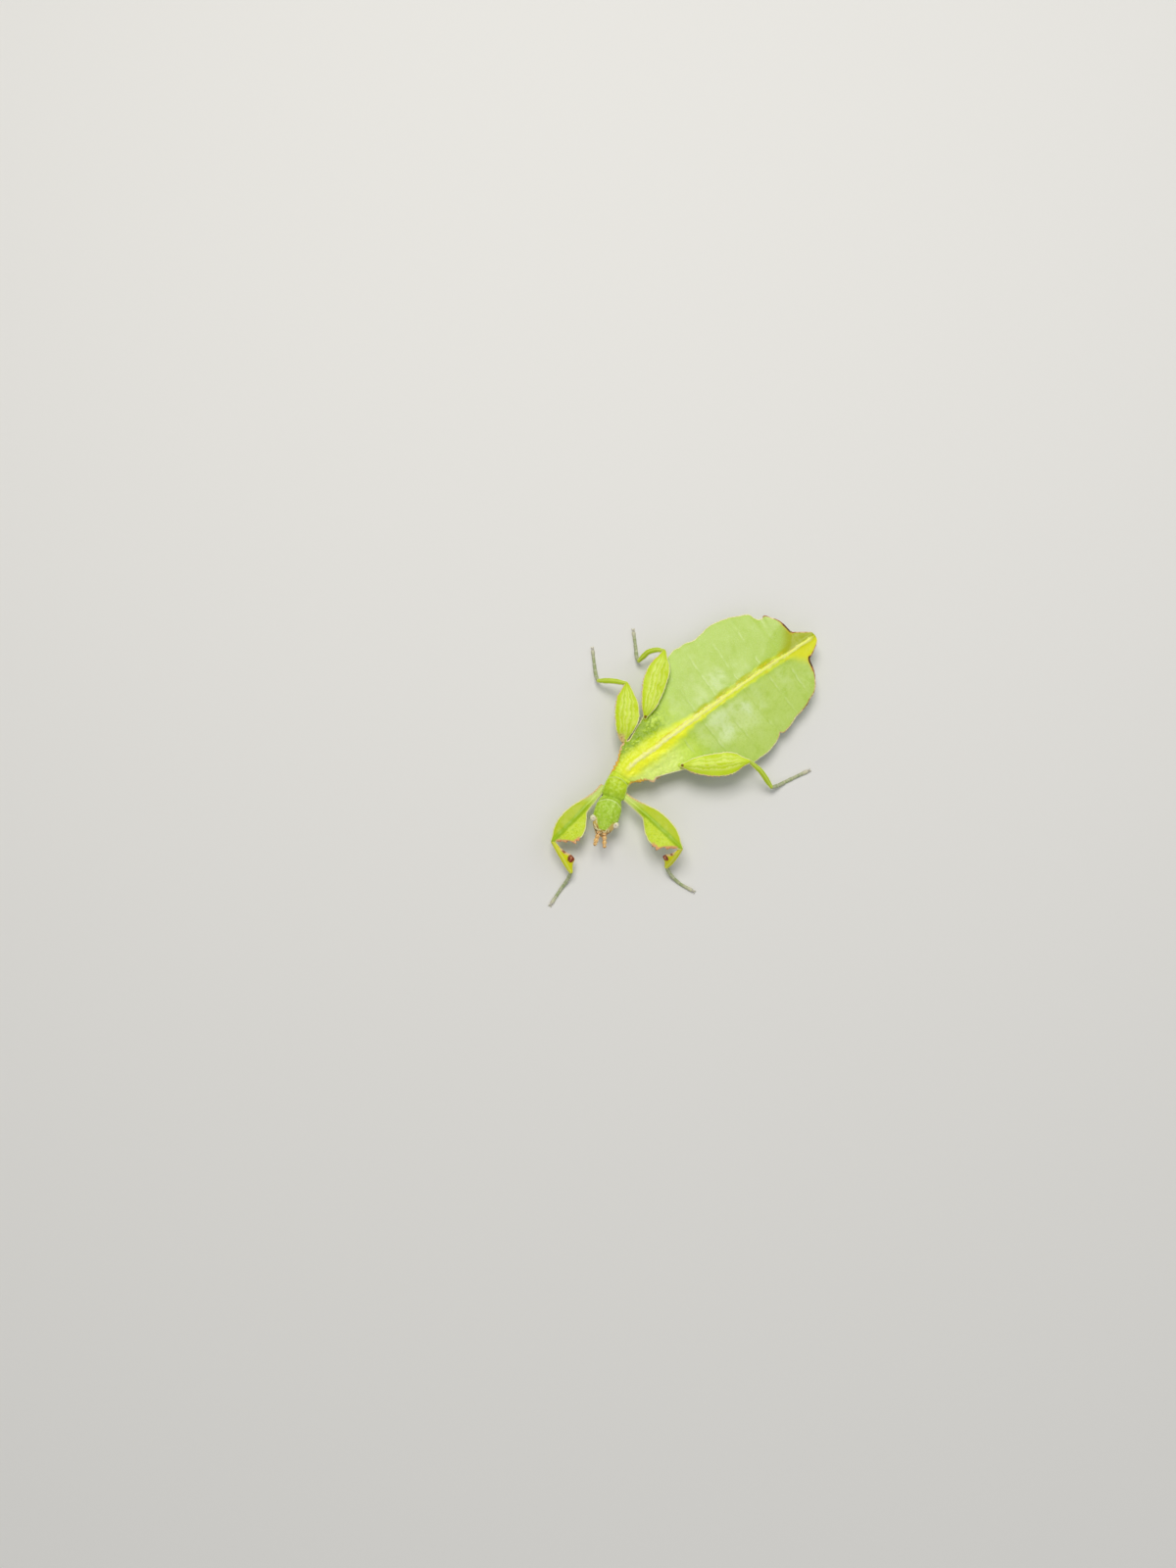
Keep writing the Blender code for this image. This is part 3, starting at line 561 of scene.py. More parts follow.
def trunk_skin():
    """Greens from head to tail, the cream midrib in its yellow band with gold marks, and the scorched rim."""
    skin = Skin("trunk_skin", coat=0.05)
    station, offset, edge, scorch, mark, belly, rise = skin.facts(*TRUNK_FACTS)
    off = abs(offset)
    broad, soft, fine, dust = (skin.clouds(size) for size in (6.0, 1.8, 0.55, 0.2))
    colour = skin.shades(
        station + (soft - 0.5) * 2.0,
        BODY_LENGTH,
        (0.0, HEAD_GREEN),
        (7.6, HEAD_GREEN),
        (9.0, NECK_GREEN),
        (13.0, WAIST_GREEN),
        (17.0, WAIST_GREEN),
        (20.0, THORAX_GREEN),
        (26.0, THORAX_GREEN),
        (33.0, BLADE_GREEN),
    )
    front = station.between(30.0, 23.0)
    thorax = front * station.between(12.0, 14.5)
    blade = station.between(24.0, 31.0)
    along = skin.flat(station * 0.7, offset * 1.2)
    neck = station.between(7.6, 8.8)
    wrinkles = skin.worms(0.75, 0.08, along) * (1 - neck * 0.85)
    grains = skin.grains(0.5, "SMOOTH_F1")
    colour = skin.tint(front * wrinkles * fine.between(0.4, 0.6) * 0.45, colour, HEAD_PALE)
    colour = skin.tint(front * fine.between(0.5, 0.3) * 0.4, colour, THORAX_DEEP)
    colour = skin.tint(front * fine.between(0.5, 0.8) * 0.5, colour, THORAX_PALE)
    # Painted light: the left side of the thorax is paler, as if lit, over its own mottle
    lit = (soft + offset.between(-1.0, 2.0) * 0.45).between(0.5, 0.85)
    colour = skin.tint(thorax * lit * 0.95, colour, THORAX_PALE)
    # Painted shade: the right side of the thorax is darker, over its own mottle
    shaded = thorax * offset.between(0.5, -2.0) * off.between(1.5, 2.6)
    colour = skin.tint(shaded * soft.between(0.75, 0.45) * 0.85, colour, THORAX_DEEP)
    # Painted shade: the hollows between the grains are darker, most on the shaded side
    shaded_hollows = grains.between(0.34, 0.6) * (shaded * 0.9 + thorax * off.between(2.0, 3.5) * 0.15)
    colour = skin.tint(shaded_hollows, colour, THORAX_DEEP)
    colour = skin.tint(blade * offset.between(0.5, -0.5) * 0.4, colour, BLADE_DEEP)
    arched = station - offset * offset * 0.004 + (soft - 0.5) * 0.8
    # Painted reflection: broad pale patches left and right of the midrib, partly the blade's own paler patches
    left_pale_reflection = abs(station - 39.5).between(8.5, 2.5) * abs(offset - 4.6).between(4.6, 1.6)
    right_pale_reflection = abs(station - 41.0).between(7.0, 1.5) * abs(offset + 4.0).between(4.0, 0.8)
    panels, grooves, ridges = 0, 0, 0
    for joint in SEGMENT_JOINTS:
        panels = abs(arched - joint - 2.4).between(2.6, 0.8) + panels
        grooves = abs(arched - joint + 0.2).between(0.3, 0.04) + grooves
        ridges = abs(arched - joint - 0.1).between(0.3, 0.05) + ridges
    reflection_clouds = skin.clouds(3.2, 0.5)
    light = left_pale_reflection * 0.6 + right_pale_reflection * 0.35 + (broad - 0.5) * 1.1 + (soft - 0.5) * 0.8
    light = light + (panels - 0.6) * off.between(11.0, 3.0) * 0.3 + station.between(42.0, 34.0) * 0.1
    colour = skin.tint(blade * light.between(0.0, 0.7) * 0.6, colour, BLADE_PALE)
    # Painted reflection: a whitish sheen over those patches, broken up by soft clouds
    reflection_breakup = (reflection_clouds + (panels - 0.6) * 0.15 + (fine - 0.5) * 0.1).between(0.4, 0.65)
    colour = skin.tint(blade * (left_pale_reflection + right_pale_reflection * 0.4) * reflection_breakup * 0.65, colour, BLADE_PALE_AND_REFLECTION)
    colour = skin.tint(blade * soft.between(0.5, 0.25) * 0.45, colour, BLADE_DEEP)
    colour = skin.tint(blade * fine.between(0.5, 0.3) * 0.25, colour, BLADE_DEEP)
    colour = skin.tint(blade * dust.between(0.5, 0.75) * 0.35, colour, BLADE_PALE)
    net = skin.grains(2.6, "DISTANCE_TO_EDGE").between(0.05, 0.0) * soft.between(0.4, 0.6)
    colour = skin.tint(blade * net * 0.10, colour, BLADE_DEEP)
    faded = (broad + (soft - 0.5) * 0.5).between(0.4, 0.6) * blade * off.between(13.0, 8.0)
    colour = skin.tint(faded * grooves * 0.4, colour, BLADE_DEEP)
    colour = skin.tint(faded * ridges * soft.between(0.35, 0.6) * 0.5, colour, BLADE_PALE)
    half = station.between(10.0, 16.0) * station.between(36.0, 20.0) * 1.5 + 0.85
    ragged = off + (soft - 0.5) * 1.2 + (fine - 0.5) * 0.4
    colour = skin.tint((ragged / half).between(2.6, 1.2) * blade * 0.45, colour, BLADE_DEEP)
    started = station.between(12.2, 14.5) * (1 - belly * 0.8)
    band = (ragged / half).between(1.5, 0.8) * started
    colour = skin.tint(band * 0.75, colour, RIB_LEMON)
    left_side = offset.between(-0.9, 0.2) * 0.5 + 0.5
    bright = (ragged / half).between(1.15, 0.5) * started * station.between(58.0, 28.0) * left_side
    colour = skin.tint(bright, colour, RIB_YELLOW)
    streaks = skin.clouds(1.0, 2.0, skin.flat(station * 0.35, offset * 2.2))
    beside = abs(offset + 0.6 + (soft - 0.5) * 0.5).between(0.28, 0.06) * station.between(18.0, 22.0)
    colour = skin.tint(beside * station.between(38.0, 32.0) * streaks.between(0.4, 0.55) * 0.6, colour, OCHRE)
    marked = (mark + (streaks - 0.5) * 0.8 + (fine - 0.5) * 0.4).between(0.2, 0.7) * station.between(30.0, 37.0)
    colour = skin.tint(marked * (offset.between(0.3, -0.3) * 0.5 + 0.4), colour, RIB_OLIVE)
    beside = abs(offset + 0.75 + (soft - 0.5) * 0.4).between(0.5, 0.15) * station.between(31.0, 36.0)
    colour = skin.tint(beside * streaks.between(0.3, 0.55) * 0.6, colour, RIB_OLIVE)
    gold = marked * off.between(1.2, 0.8) * (streaks + fine - 0.5).between(0.45, 0.6)
    colour = skin.tint(gold * 0.8, colour, RIB_GOLD)
    tail = (station - off * 1.0 + offset.between(0.0, -1.0) + (soft - 0.5) * 1.5).between(53.6, 57.2)
    tail_tone = skin.tint((offset + (soft - 0.5) * 0.8).between(0.5, -0.5), TAIL_YELLOW, TAIL_OLIVE)
    tail_tone = skin.tint(soft.between(0.55, 0.7) * 0.4, tail_tone, TAIL_OLIVE)
    colour = skin.tint(tail, colour, tail_tone)
    line = abs(offset + (streaks - 0.5) * 0.6) + (fine - 0.5) * 0.7 + (soft - 0.5) * 0.8
    line = line + station.between(34.0, 42.0) * 0.16 + station.between(54.0, 60.0) * 0.08
    whole_line = station.between(13.5, 16.5) * station.between(63.2, 61.5) * (1 - belly * 0.6)
    colour = skin.tint(line.between(0.7, 0.28) * whole_line * 0.9, colour, RIB_CREAM)
    # Painted highlight: the crest of the keel is its own cream brightened to near-white, as if wet and shining
    crest = line.between(0.55, 0.15) * station.between(14.0, 16.0) * station.between(34.0, 24.0)
    colour = skin.tint(crest * soft.between(0.3, 0.5) * 0.9, colour, CREST_CREAM_AND_HIGHLIGHT)
    yellow = abs(offset + 0.15 + (fine - 0.5) * 0.5).between(0.16, 0.03) * whole_line
    colour = skin.tint(yellow * 0.6, colour, RIB_YELLOW)
    stains = abs(offset + 0.38 + (soft - 0.5) * 0.7).between(0.2, 0.04) * streaks.between(0.48, 0.6)
    stains = stains * station.between(34.0, 40.0) * station.between(60.0, 57.0)
    colour = skin.tint(stains * 0.5, colour, SCORCH_RED)
    arc = off * off * 0.16
    collar = abs(station - COLLARS[0] + arc).between(0.2, 0.05) + abs(station - COLLARS[1] + arc).between(0.2, 0.05) * 0.6
    colour = skin.tint(collar * 0.8, colour, HEAD_PALE)
    colour = skin.tint(abs(station - COLLARS[0] - 0.35 + arc).between(0.3, 0.05) * 0.5, colour, THORAX_DEEP)
    worn = edge + (fine - 0.5) * 0.3 + (dust - 0.5) * 0.12
    face = station.between(3.6, 2.4) * worn.between(1.15, 0.75)
    colour = skin.tint(face * 0.85, colour, FACE_TAN)
    colour = skin.tint(face * fine.between(0.5, 0.6) * 0.8, colour, RIM_CREAM)
    root = (station + (fine - 0.5) * 1.2).between(1.7, 1.0) * 0.6 + soft.between(0.5, 0.62) * 0.5
    colour = skin.tint(face * root * fine.between(0.58, 0.45), colour, FACE_BROWN)
    brink = skin.shades(
        station,
        BODY_LENGTH,
        (0.0, FACE_TAN),
        (5.0, HEAD_PALE),
        (11.5, HEAD_PALE),
        (12.6, WAIST_ORANGE),
        (15.6, WAIST_ORANGE),
        (16.6, SCORCH_TAN),
        (18.0, SCORCH_TAN),
        (19.5, RIM_CREAM),
    )
    burnt = scorch + (fine - 0.5) * 1.1 + (dust - 0.5) * 0.4
    scorched = skin.shades(
        burnt, 1.0, (0.0, RIM_CREAM), (0.3, SCORCH_TAN), (0.5, SCORCH_RED), (0.8, SCORCH_RED), (0.95, SCORCH_BROWN)
    )
    brink = skin.tint(station.between(41.0, 43.0), brink, scorched)
    waist = station.between(12.0, 13.0) * station.between(19.0, 17.6)
    width = waist * soft.between(0.3, 0.55) * 0.42 + scorch * scorch * 0.25 + 0.2
    colour = skin.tint(scorch.between(0.45, 0.8) * worn.between(0.9, 0.3) * 0.6, colour, OCHRE)
    worn = worn + waist * rise * 0.25
    colour = skin.tint((worn / width).between(1.15, 0.75) * station.between(8.0, 10.0), colour, brink)
    colour = skin.tint(belly * blade * 0.6, colour, BLADE_PALE)
    height = front * (wrinkles * 0.2 + fine * 0.7 + dust * 0.25)
    height = height + thorax * (0.6 - grains) * off.between(0.4, 1.6) * 0.9
    height = height + blade * (fine * 0.2 + dust * 0.12 - net * 0.06)
    return skin.dress(colour, fine * 0.16 + scorch.between(0.7, 1.0) * 0.3 + 0.28, height, 0.12)


# How burnt the rim is near the tip: distance along the spine, and 0 for cream, 0.3 tan, 0.6 red and 1 black
RIGHT_SCORCH = (
    (53.5, 0.0),
    (56.2, 0.05),
    (56.7, 0.6),
    (57.4, 0.5),
    (57.9, 0.25),
    (58.6, 0.4),
    (59.2, 0.6),
    (59.6, 1.0),
    (59.9, 1.0),
    (60.2, 0.45),
    (62.4, 0.38),
    (63.0, 0.1),
)
LEFT_SCORCH = (
    (43.5, 0.0),
    (45.5, 0.35),
    (47.5, 0.3),
    (49.5, 0.1),
    (52.0, 0.35),
    (55.0, 0.42),
    (57.5, 0.35),
    (58.9, 0.5),
    (59.4, 1.0),
    (59.9, 1.0),
    (60.3, 0.45),
    (62.6, 0.35),
    (63.2, 0.15),
)
TRUNK_FACTS = ("station", "offset", "edge", "scorch", "mark", "belly", "rise")

outline = []
for step in range(1271):
    along_spine = step * 0.05
    here, _, left = spine_at(along_spine)
    for side in (-1, 1):
        burnt = smooth(RIGHT_SCORCH if side < 0 else LEFT_SCORCH, along_spine)
        outline.append((here + left * side * margin(along_spine, side), burnt))
    if step in (0, 1270):
        outline += [(here + left * 0.1 * across, 0.1) for across in range(-8, 9)]
rim_points = kdtree.KDTree(len(outline))
for index, (point, _) in enumerate(outline):
    rim_points.insert(Vector((point.x, point.y, 0.0)), index)
rim_points.balance()


def gold_marks(station, offset):
    """Marks beside the midrib: long ones behind each joint on the right, and short ones on the left."""
    marks = 0.0
    for joint in SEGMENT_JOINTS:
        behind = station - joint
        if offset < 0:
            long = ramp(-1.6, -0.4, behind) * (1 - ramp(1.4, 4.4, behind))
            marks += long * bell(offset + 0.85 + 0.06 * behind, 0.6)
        else:
            marks += 0.55 * bell(behind - 0.2, 1.0) * bell(offset - 1.0, 0.55)
    return min(1.0, marks)


def trunk_place(share, turn):
    """Rings from the face to the tail, closest on the head; in a ring, points crowd at the midrib and margins."""
    station = share / 0.5 * 26.0 if share < 0.5 else 26.0 + (share - 0.5) / 0.5 * (BODY_LENGTH - 26.0)
    u = 1 - 2 * abs(turn) / math.pi
    across = u - 0.12 * math.sin(2 * math.pi * u)
    top = turn >= 0
    point, offset, _ = trunk_surface(round(station, 5), across, top)
    _, index, edge = rim_points.find(Vector((point.x, point.y, 0.0)))
    rise = abs(point.z - smooth(HEIGHTS, station))
    return point, station, offset, edge, outline[index][1], gold_marks(station, offset) * top, 1.0 - top, rise


trunk_mesh = bmesh.new()
sweep(trunk_mesh, 180, 320, trunk_place, TRUNK_FACTS)
trunk_solids = ("head", "pronotum", "mesothorax", "metathorax", "abdomen", "tail")
piece("trunk", trunk_mesh, [trunk_skin()], trunk_solids)

# Eyes
# Two small round compound eyes on the widest part of the face: cream, glossy, with a fine net of facets and a
# brown ring where each is set in the head.

EYE_STATION = 2.8
EYE_INSET = 0.2
EYE_RADIUS = 0.72
EYE_CREAM = (0.88, 0.83, 0.60)
EYE_ROSE = (0.52, 0.38, 0.30)
EYE_BROWN = (0.42, 0.26, 0.12)


def eye_skin():
    """Cream with a small dull rosy spot on top and a brown setting, under a clear gloss."""
    skin = Skin("eye_skin", see_through=0.2, coat=0.6)
    out, above = skin.facts("out", "above")
    facets = skin.grains(0.09, "DISTANCE_TO_EDGE").between(0.0, 0.25)
    mottle = skin.clouds(0.4)
    colour = skin.tint(mottle.between(0.5, 0.8) * 0.3, EYE_CREAM, EYE_ROSE)
    colour = skin.tint((above + (mottle - 0.5) * 0.06).between(0.93, 0.985) * 0.75, colour, EYE_ROSE)
    colour = skin.tint(out.between(0.25, 0.05) * 0.8, colour, EYE_BROWN)
    return skin.dress(colour, mottle * 0.1 + 0.18, facets, 0.01)


eye_finish = eye_skin()
for side, name in ((-1, "eye_right"), (1, "eye_left")):
    here, _, left = spine_at(EYE_STATION)
    outwards = left * side
    centre = here + outwards * (margin(EYE_STATION, side) - EYE_INSET) + UP * 0.4

    def eye_place(share, turn):
        """A ball. Out is 0 where it meets the head and 1 at its far side, and above is 1 at its top."""
        around = math.sin(math.pi * share)
        way = Vector((around * math.cos(turn), around * math.sin(turn), math.cos(math.pi * share)))
        return centre + way * EYE_RADIUS, 0.5 + 0.5 * way.dot(outwards), way.z

    eye_mesh = bmesh.new()
    sweep(eye_mesh, 40, 30, eye_place, ("out", "above"))
    piece(name, eye_mesh, [eye_finish], (name,))

# Feelers
# A female's feelers are short and thick: a stout root and three longer beads down to a blunt tip. They are tan
# and rougher than the rest of the skin, and stand side by side on the front of the head.

ANTENNA_ROOT = 0.52
ANTENNA_LENGTH = 3.4
# Distance along a feeler and its radius: a stout root and three longer beads
ANTENNA_BEADS = (
    (0.0, 0.33),
    (0.35, 0.4),
    (0.75, 0.31),
    (1.15, 0.44),
    (1.45, 0.46),
    (1.75, 0.34),
    (2.15, 0.48),
    (2.45, 0.44),
    (2.7, 0.33),
    (3.0, 0.4),
    (3.25, 0.32),
    (ANTENNA_LENGTH, 0.16),
)
FEELER_TAN = (0.78, 0.44, 0.13)
FEELER_PALE = (0.93, 0.76, 0.42)


def feeler_skin():
    """Orange tan, with pale flecks laid on as painted highlights, brown in the joints and at the root."""
    skin = Skin("feeler_skin", see_through=0.15, coat=0.2)
    reach, swell = skin.facts("reach", "swell")
    soft, fine = skin.clouds(0.7), skin.clouds(0.28)
    colour = skin.tint((swell + (soft - 0.5) * 0.8).between(0.0, 0.35), FACE_BROWN, FEELER_TAN)
    # Painted highlights: pale flecks over the knobbly skin
    colour = skin.tint(fine.between(0.48, 0.62) * 0.75, colour, FEELER_PALE)
    colour = skin.tint(fine.between(0.42, 0.3) * 0.5, colour, SCORCH_RED)
    colour = skin.tint(reach.between(0.25, 0.08) * 0.6, colour, FACE_BROWN)
    return skin.dress(colour, fine * 0.2 + 0.32, fine * 0.8 + soft * 0.4, 0.09)


feeler_finish = feeler_skin()
for side, name in ((-1, "antenna_right"), (1, "antenna_left")):
    here, along, left = spine_at(FACE)
    ahead = (-along + left * (0.155 * side + 0.175) + UP * 0.05).normalized()
    root = here + left * side * ANTENNA_ROOT + UP * 0.6
    across = ahead.cross(UP).normalized()
    rise = across.cross(ahead)

    def feeler_place(share, turn):
        """Beads along the feeler, from inside the head to the tip, with low warts."""
        far = -0.35 + share * (ANTENNA_LENGTH + 0.35)
        cap = math.sqrt(max(0.0, 1 - max(0.0, (share - 0.93) / 0.07) ** 2))
        thick = smooth(ANTENNA_BEADS, far)
        swell = (thick - 0.3) / 0.16
        thick *= cap * (1 + 0.2 * wobble(far * 2.2, math.sin(turn), side) + 0.12 * wobble(far * 5.0, turn, 4))
        middle = root + ahead * (far + 0.26)
        point = middle + across * thick * math.cos(turn) + rise * thick * 0.88 * math.sin(turn)
        return point, share, swell

    feeler_mesh = bmesh.new()
    sweep(feeler_mesh, 28, 70, feeler_place, ("reach", "swell"))
    piece(name, feeler_mesh, [feeler_finish], (name,))

# Mouthparts
# Under the feelers the upper lip hangs like a small split shield over the jaws, with a jointed palp on each
# side. They are tan and brown, of thicker skin than the head.


def mouth_skin():
    """Mottled tan and brown."""
    skin = Skin("mouth_skin", see_through=0.08)
    patches, fine = skin.clouds(0.8), skin.clouds(0.25)
    colour = skin.tint(patches.between(0.45, 0.6), FACE_TAN, FEELER_PALE)
    colour = skin.tint(fine.between(0.5, 0.62) * 0.8, colour, FACE_BROWN)
    return skin.dress(colour, fine * 0.2 + 0.4, fine, 0.06)


mouth_mesh = bmesh.new()
here, along, left = spine_at(FACE)


def lip_place(share, turn):
    """The upper lip: a flat lobe, notched in front."""
    t, side = math.sin(math.pi * share), math.cos(math.pi * share)
    ahead = 1.35 * t * max(0.0, -math.sin(turn)) ** 0.8 - 0.25 * bell(side, 0.12) * t
    back = 0.9 * t * max(0.0, math.sin(turn))
    depth = -0.62 - 0.45 * math.cos(turn) * t - 0.1 * ahead
    return (here - along * (ahead - back + 0.1) + left * side * 1.4 + UP * depth,)


sweep(mouth_mesh, 28, 40, lip_place)
for side in (-1, 1):
    for reach, spread, low in ((1.25, 1.15, -0.85), (1.05, 0.6, -1.15)):
        base = here + left * side * spread + UP * low + along * 0.3
        tip = here + left * side * (spread * 0.75) - along * reach + UP * (low + 0.1)
        bow = left * side * 0.25

        def palp_place(share, turn):
            """A jointed palp that curves forwards from under the lip."""
            joint = abs(math.sin(math.pi * 3 * share))
            thick = 0.17 * math.sin(math.pi * (0.08 + 0.86 * share)) ** 0.4 * (0.8 + 0.2 * joint)
            thick *= math.sqrt(max(0.0, 1 - (2 * share - 1) ** 10))
            middle = base.lerp(tip, share) + bow * math.sin(math.pi * share)
            return (middle + left * thick * math.cos(turn) + UP * thick * math.sin(turn),)

        sweep(mouth_mesh, 14, 30, palp_place)
piece("mouthparts", mouth_mesh, [mouth_skin()], ("mouthparts",))

# Legs
# Each leg has a femur and a tibia spread into thin leafy lobes beside a lengthwise rib, and a slender jointed
# foot with soft pads and two claws. The fore femora are toothed near the knee. The left middle leg is tucked
# under the body. Each segment is a closed skin whose end is set in the socket of the one before it.

# Lobes of the legs: share of the way to the knee or the ankle, and the width on that side of the rib
FRONT_LOBES = {
    "fore": (
        (0.0, 0.8),
        (0.15, 0.85),
        (0.32, 1.0),
        (0.42, 2.1),
        (0.53, 3.2),
        (0.65, 3.7),
        (0.75, 3.6),
        (0.84, 2.4),
        (0.93, 1.1),
        (1.0, 0.5),
    ),
    "mid": ((0.0, 1.1), (0.08, 1.5), (0.2, 1.95), (0.5, 2.3), (0.75, 2.05), (0.87, 1.25), (1.0, 0.5)),
    "hind": (
        (0.0, 0.6),
        (0.17, 1.7),
        (0.35, 2.3),
        (0.53, 2.65),
        (0.66, 2.55),
        (0.8, 1.95),
        (0.92, 0.95),
        (1.0, 0.5),
    ),
}
REAR_LOBES = {
    "fore": (
        (0.0, 0.9),
        (0.1, 1.2),
        (0.27, 1.9),
        (0.42, 2.5),
        (0.55, 2.65),
        (0.7, 2.5),
        (0.86, 1.7),
        (0.95, 0.85),
        (1.0, 0.5),
    ),
    "mid": ((0.0, 0.55), (0.18, 1.9), (0.31, 2.6), (0.45, 2.9), (0.63, 2.65), (0.85, 1.5), (1.0, 0.5)),
    "hind": (
        (0.0, 0.55),
        (0.17, 1.6),
        (0.33, 2.05),
        (0.5, 2.3),
        (0.65, 2.4),
        (0.8, 2.0),
        (0.92, 1.0),
        (1.0, 0.5),
    ),
}
FORE_TIBIA_FRONT = (
    (0.0, 0.45),
    (0.2, 0.6),
    (0.45, 1.2),
    (0.6, 1.9),
    (0.72, 2.05),
    (0.82, 1.3),
    (0.93, 0.7),
    (1.0, 0.5),
)
TIBIA_SIDE = ((0.0, 0.45), (0.4, 0.6), (0.7, 0.62), (1.0, 0.42))
FEMUR_RIB = ((0.0, 0.5), (0.3, 0.75), (0.7, 0.7), (1.0, 0.5))  # half the thickness at the rib
TIBIA_RIB = ((0.0, 0.48), (1.0, 0.36))
TARSUS_SIDE = ((0.0, 0.4), (0.12, 0.44), (0.55, 0.4), (0.75, 0.36), (0.93, 0.44), (1.0, 0.4))
# Teeth of the fore femur: share of the way to the knee, and how far the edge stands out there
TEETH = (
    (0.68, 0.0),
    (0.705, 0.35),
    (0.735, -0.15),
    (0.775, 0.5),
    (0.815, -0.4),
    (0.84, -0.2),
    (0.87, 0.4),
    (0.9, -0.1),
    (0.92, 0.15),
    (0.945, 0.0),
)
SERRATION = 0.14  # height of the fine teeth on the edges of the other femora
SERRATION_COUNT = 20
CLAW_LENGTH = 1.0
SOLE = 0.22  # height of a foot's middle line over its flat sole

# Name, pair, side on which the front lobe lies, root in the thorax, femur, tibia and foot
LEGS = (
    (
        "fore_right", "fore", 1, (1.1, -5.0, 4.2),
        ((-0.2, -7.1, 4.2), (1.2, -13.8, 4.5), (2.2, -20.5, 4.5)),
        ((2.2, -20.5, 4.5), (6.0, -20.8, 3.6), (9.6, -21.2, 2.3)),
        ((9.6, -21.2, 2.3), (10.4, -22.8, 0.9), (11.2, -25.2, SOLE), (12.4, -28.5, SOLE)),
    ),
    (
        "fore_left", "fore", -1, (2.6, -3.5, 4.3),
        ((4.4, -2.8, 4.4), (11.4, -1.4, 5.4), (19.15, -0.1, 6.6)),
        ((19.15, -0.1, 6.6), (19.9, -2.35, 4.7), (20.5, -4.6, 2.2)),
        ((20.5, -4.6, 2.2), (22.2, -4.7, 0.9), (24.6, -4.3, SOLE), (27.8, -2.9, SOLE)),
    ),
    (
        "mid_right", "mid", 1, (-4.0, 3.0, 4.8),
        ((-5.9, 4.1, 5.0), (-8.2, 5.9, 5.8), (-15.0, 11.3, 6.1)),
        ((-15.0, 11.3, 6.1), (-17.2, 9.7, 4.6), (-19.7, 7.3, 2.1)),
        ((-19.7, 7.3, 2.1), (-21.0, 7.8, 0.9), (-22.8, 8.75, SOLE), (-26.15, 10.65, SOLE)),
    ),
    (
        "mid_left", "mid", -1, (2.3, 3.1, 4.4),
        ((3.4, 3.8, 3.4), (2.8, 5.8, 2.2), (1.7, 9.6, 1.9), (0.7, 15.2, 1.9)),
        ((0.7, 15.2, 1.9), (3.8, 16.7, 1.6), (7.0, 18.2, 1.2)),
        ((7.0, 18.2, 1.2), (8.1, 19.3, 0.7), (9.2, 21.0, SOLE), (10.4, 24.4, SOLE)),
    ),
    (
        "hind_right", "hind", 1, (-5.6, 9.2, 4.7),
        ((-7.3, 10.5, 5.5), (-8.7, 12.4, 6.1), (-15.9, 21.7, 6.1)),
        ((-15.9, 21.7, 6.1), (-17.2, 20.7, 5.3), (-18.05, 18.85, 3.9), (-18.0, 16.8, 2.0)),
        ((-18.0, 16.8, 2.0), (-19.0, 17.15, 0.9), (-20.6, 18.1, SOLE), (-24.2, 20.1, SOLE)),
    ),
    (
        "hind_left", "hind", -1, (4.2, 9.3, 4.7),
        ((5.7, 10.6, 5.5), (7.0, 12.3, 6.1), (13.1, 22.0, 6.1)),
        ((13.1, 22.0, 6.1), (16.5, 23.0, 4.4), (20.15, 23.2, 2.0)),
        ((20.15, 23.2, 2.0), (20.65, 24.7, 0.9), (21.05, 27.0, SOLE), (22.0, 32.0, SOLE)),
    ),
)

FEMUR_LIME = (0.58, 0.74, 0.01)
FEMUR_GREEN = (0.73, 0.89, 0.10)
RIDGE_YELLOW = (0.86, 0.93, 0.26)
FORE_GREEN = (0.65, 0.80, 0.03)
FORE_PALE = (0.44, 0.54, 0.0)
FORE_RIB = (0.33, 0.53, 0.002)
TOOTH_PINK = (0.82, 0.40, 0.18)
DOT_BROWN = (0.20, 0.05, 0.015)
TIBIA_YELLOW = (0.71, 0.70, 0.0)
TIBIA_GREEN = (0.46, 0.63, 0.005)
SPOT_RED = (0.24, 0.03, 0.012)
FOOT_GREEN = (0.34, 0.40, 0.19)
FOOT_PALE = (0.66, 0.62, 0.48)
LEG_FACTS = ("share", "across", "lobe", "edge")


def rim(skin, colour, edge, fine, width):
    """The cream rim of a leafy limb, a little uneven."""
    return skin.tint((edge + (fine - 0.5) * 0.2).between(width, width * 0.4) * 0.9, colour, RIM_CREAM)


def hip_skin(name, ground):
    """The grainy skin of the thorax on the root of a leg."""
    skin = Skin(name, coat=0.05)
    soft, fine, grains = skin.clouds(1.6), skin.clouds(0.5), skin.grains(0.5, "SMOOTH_F1")
    colour = skin.tint(soft.between(0.4, 0.7) * 0.6, ground, THORAX_PALE)
    # Painted shade: darker in the hollows between the grains
    colour = skin.tint(grains.between(0.4, 0.62) * 0.5, colour, THORAX_DEEP)
    return skin.dress(colour, fine * 0.16 + 0.30, fine * 0.5 - grains, 0.1)


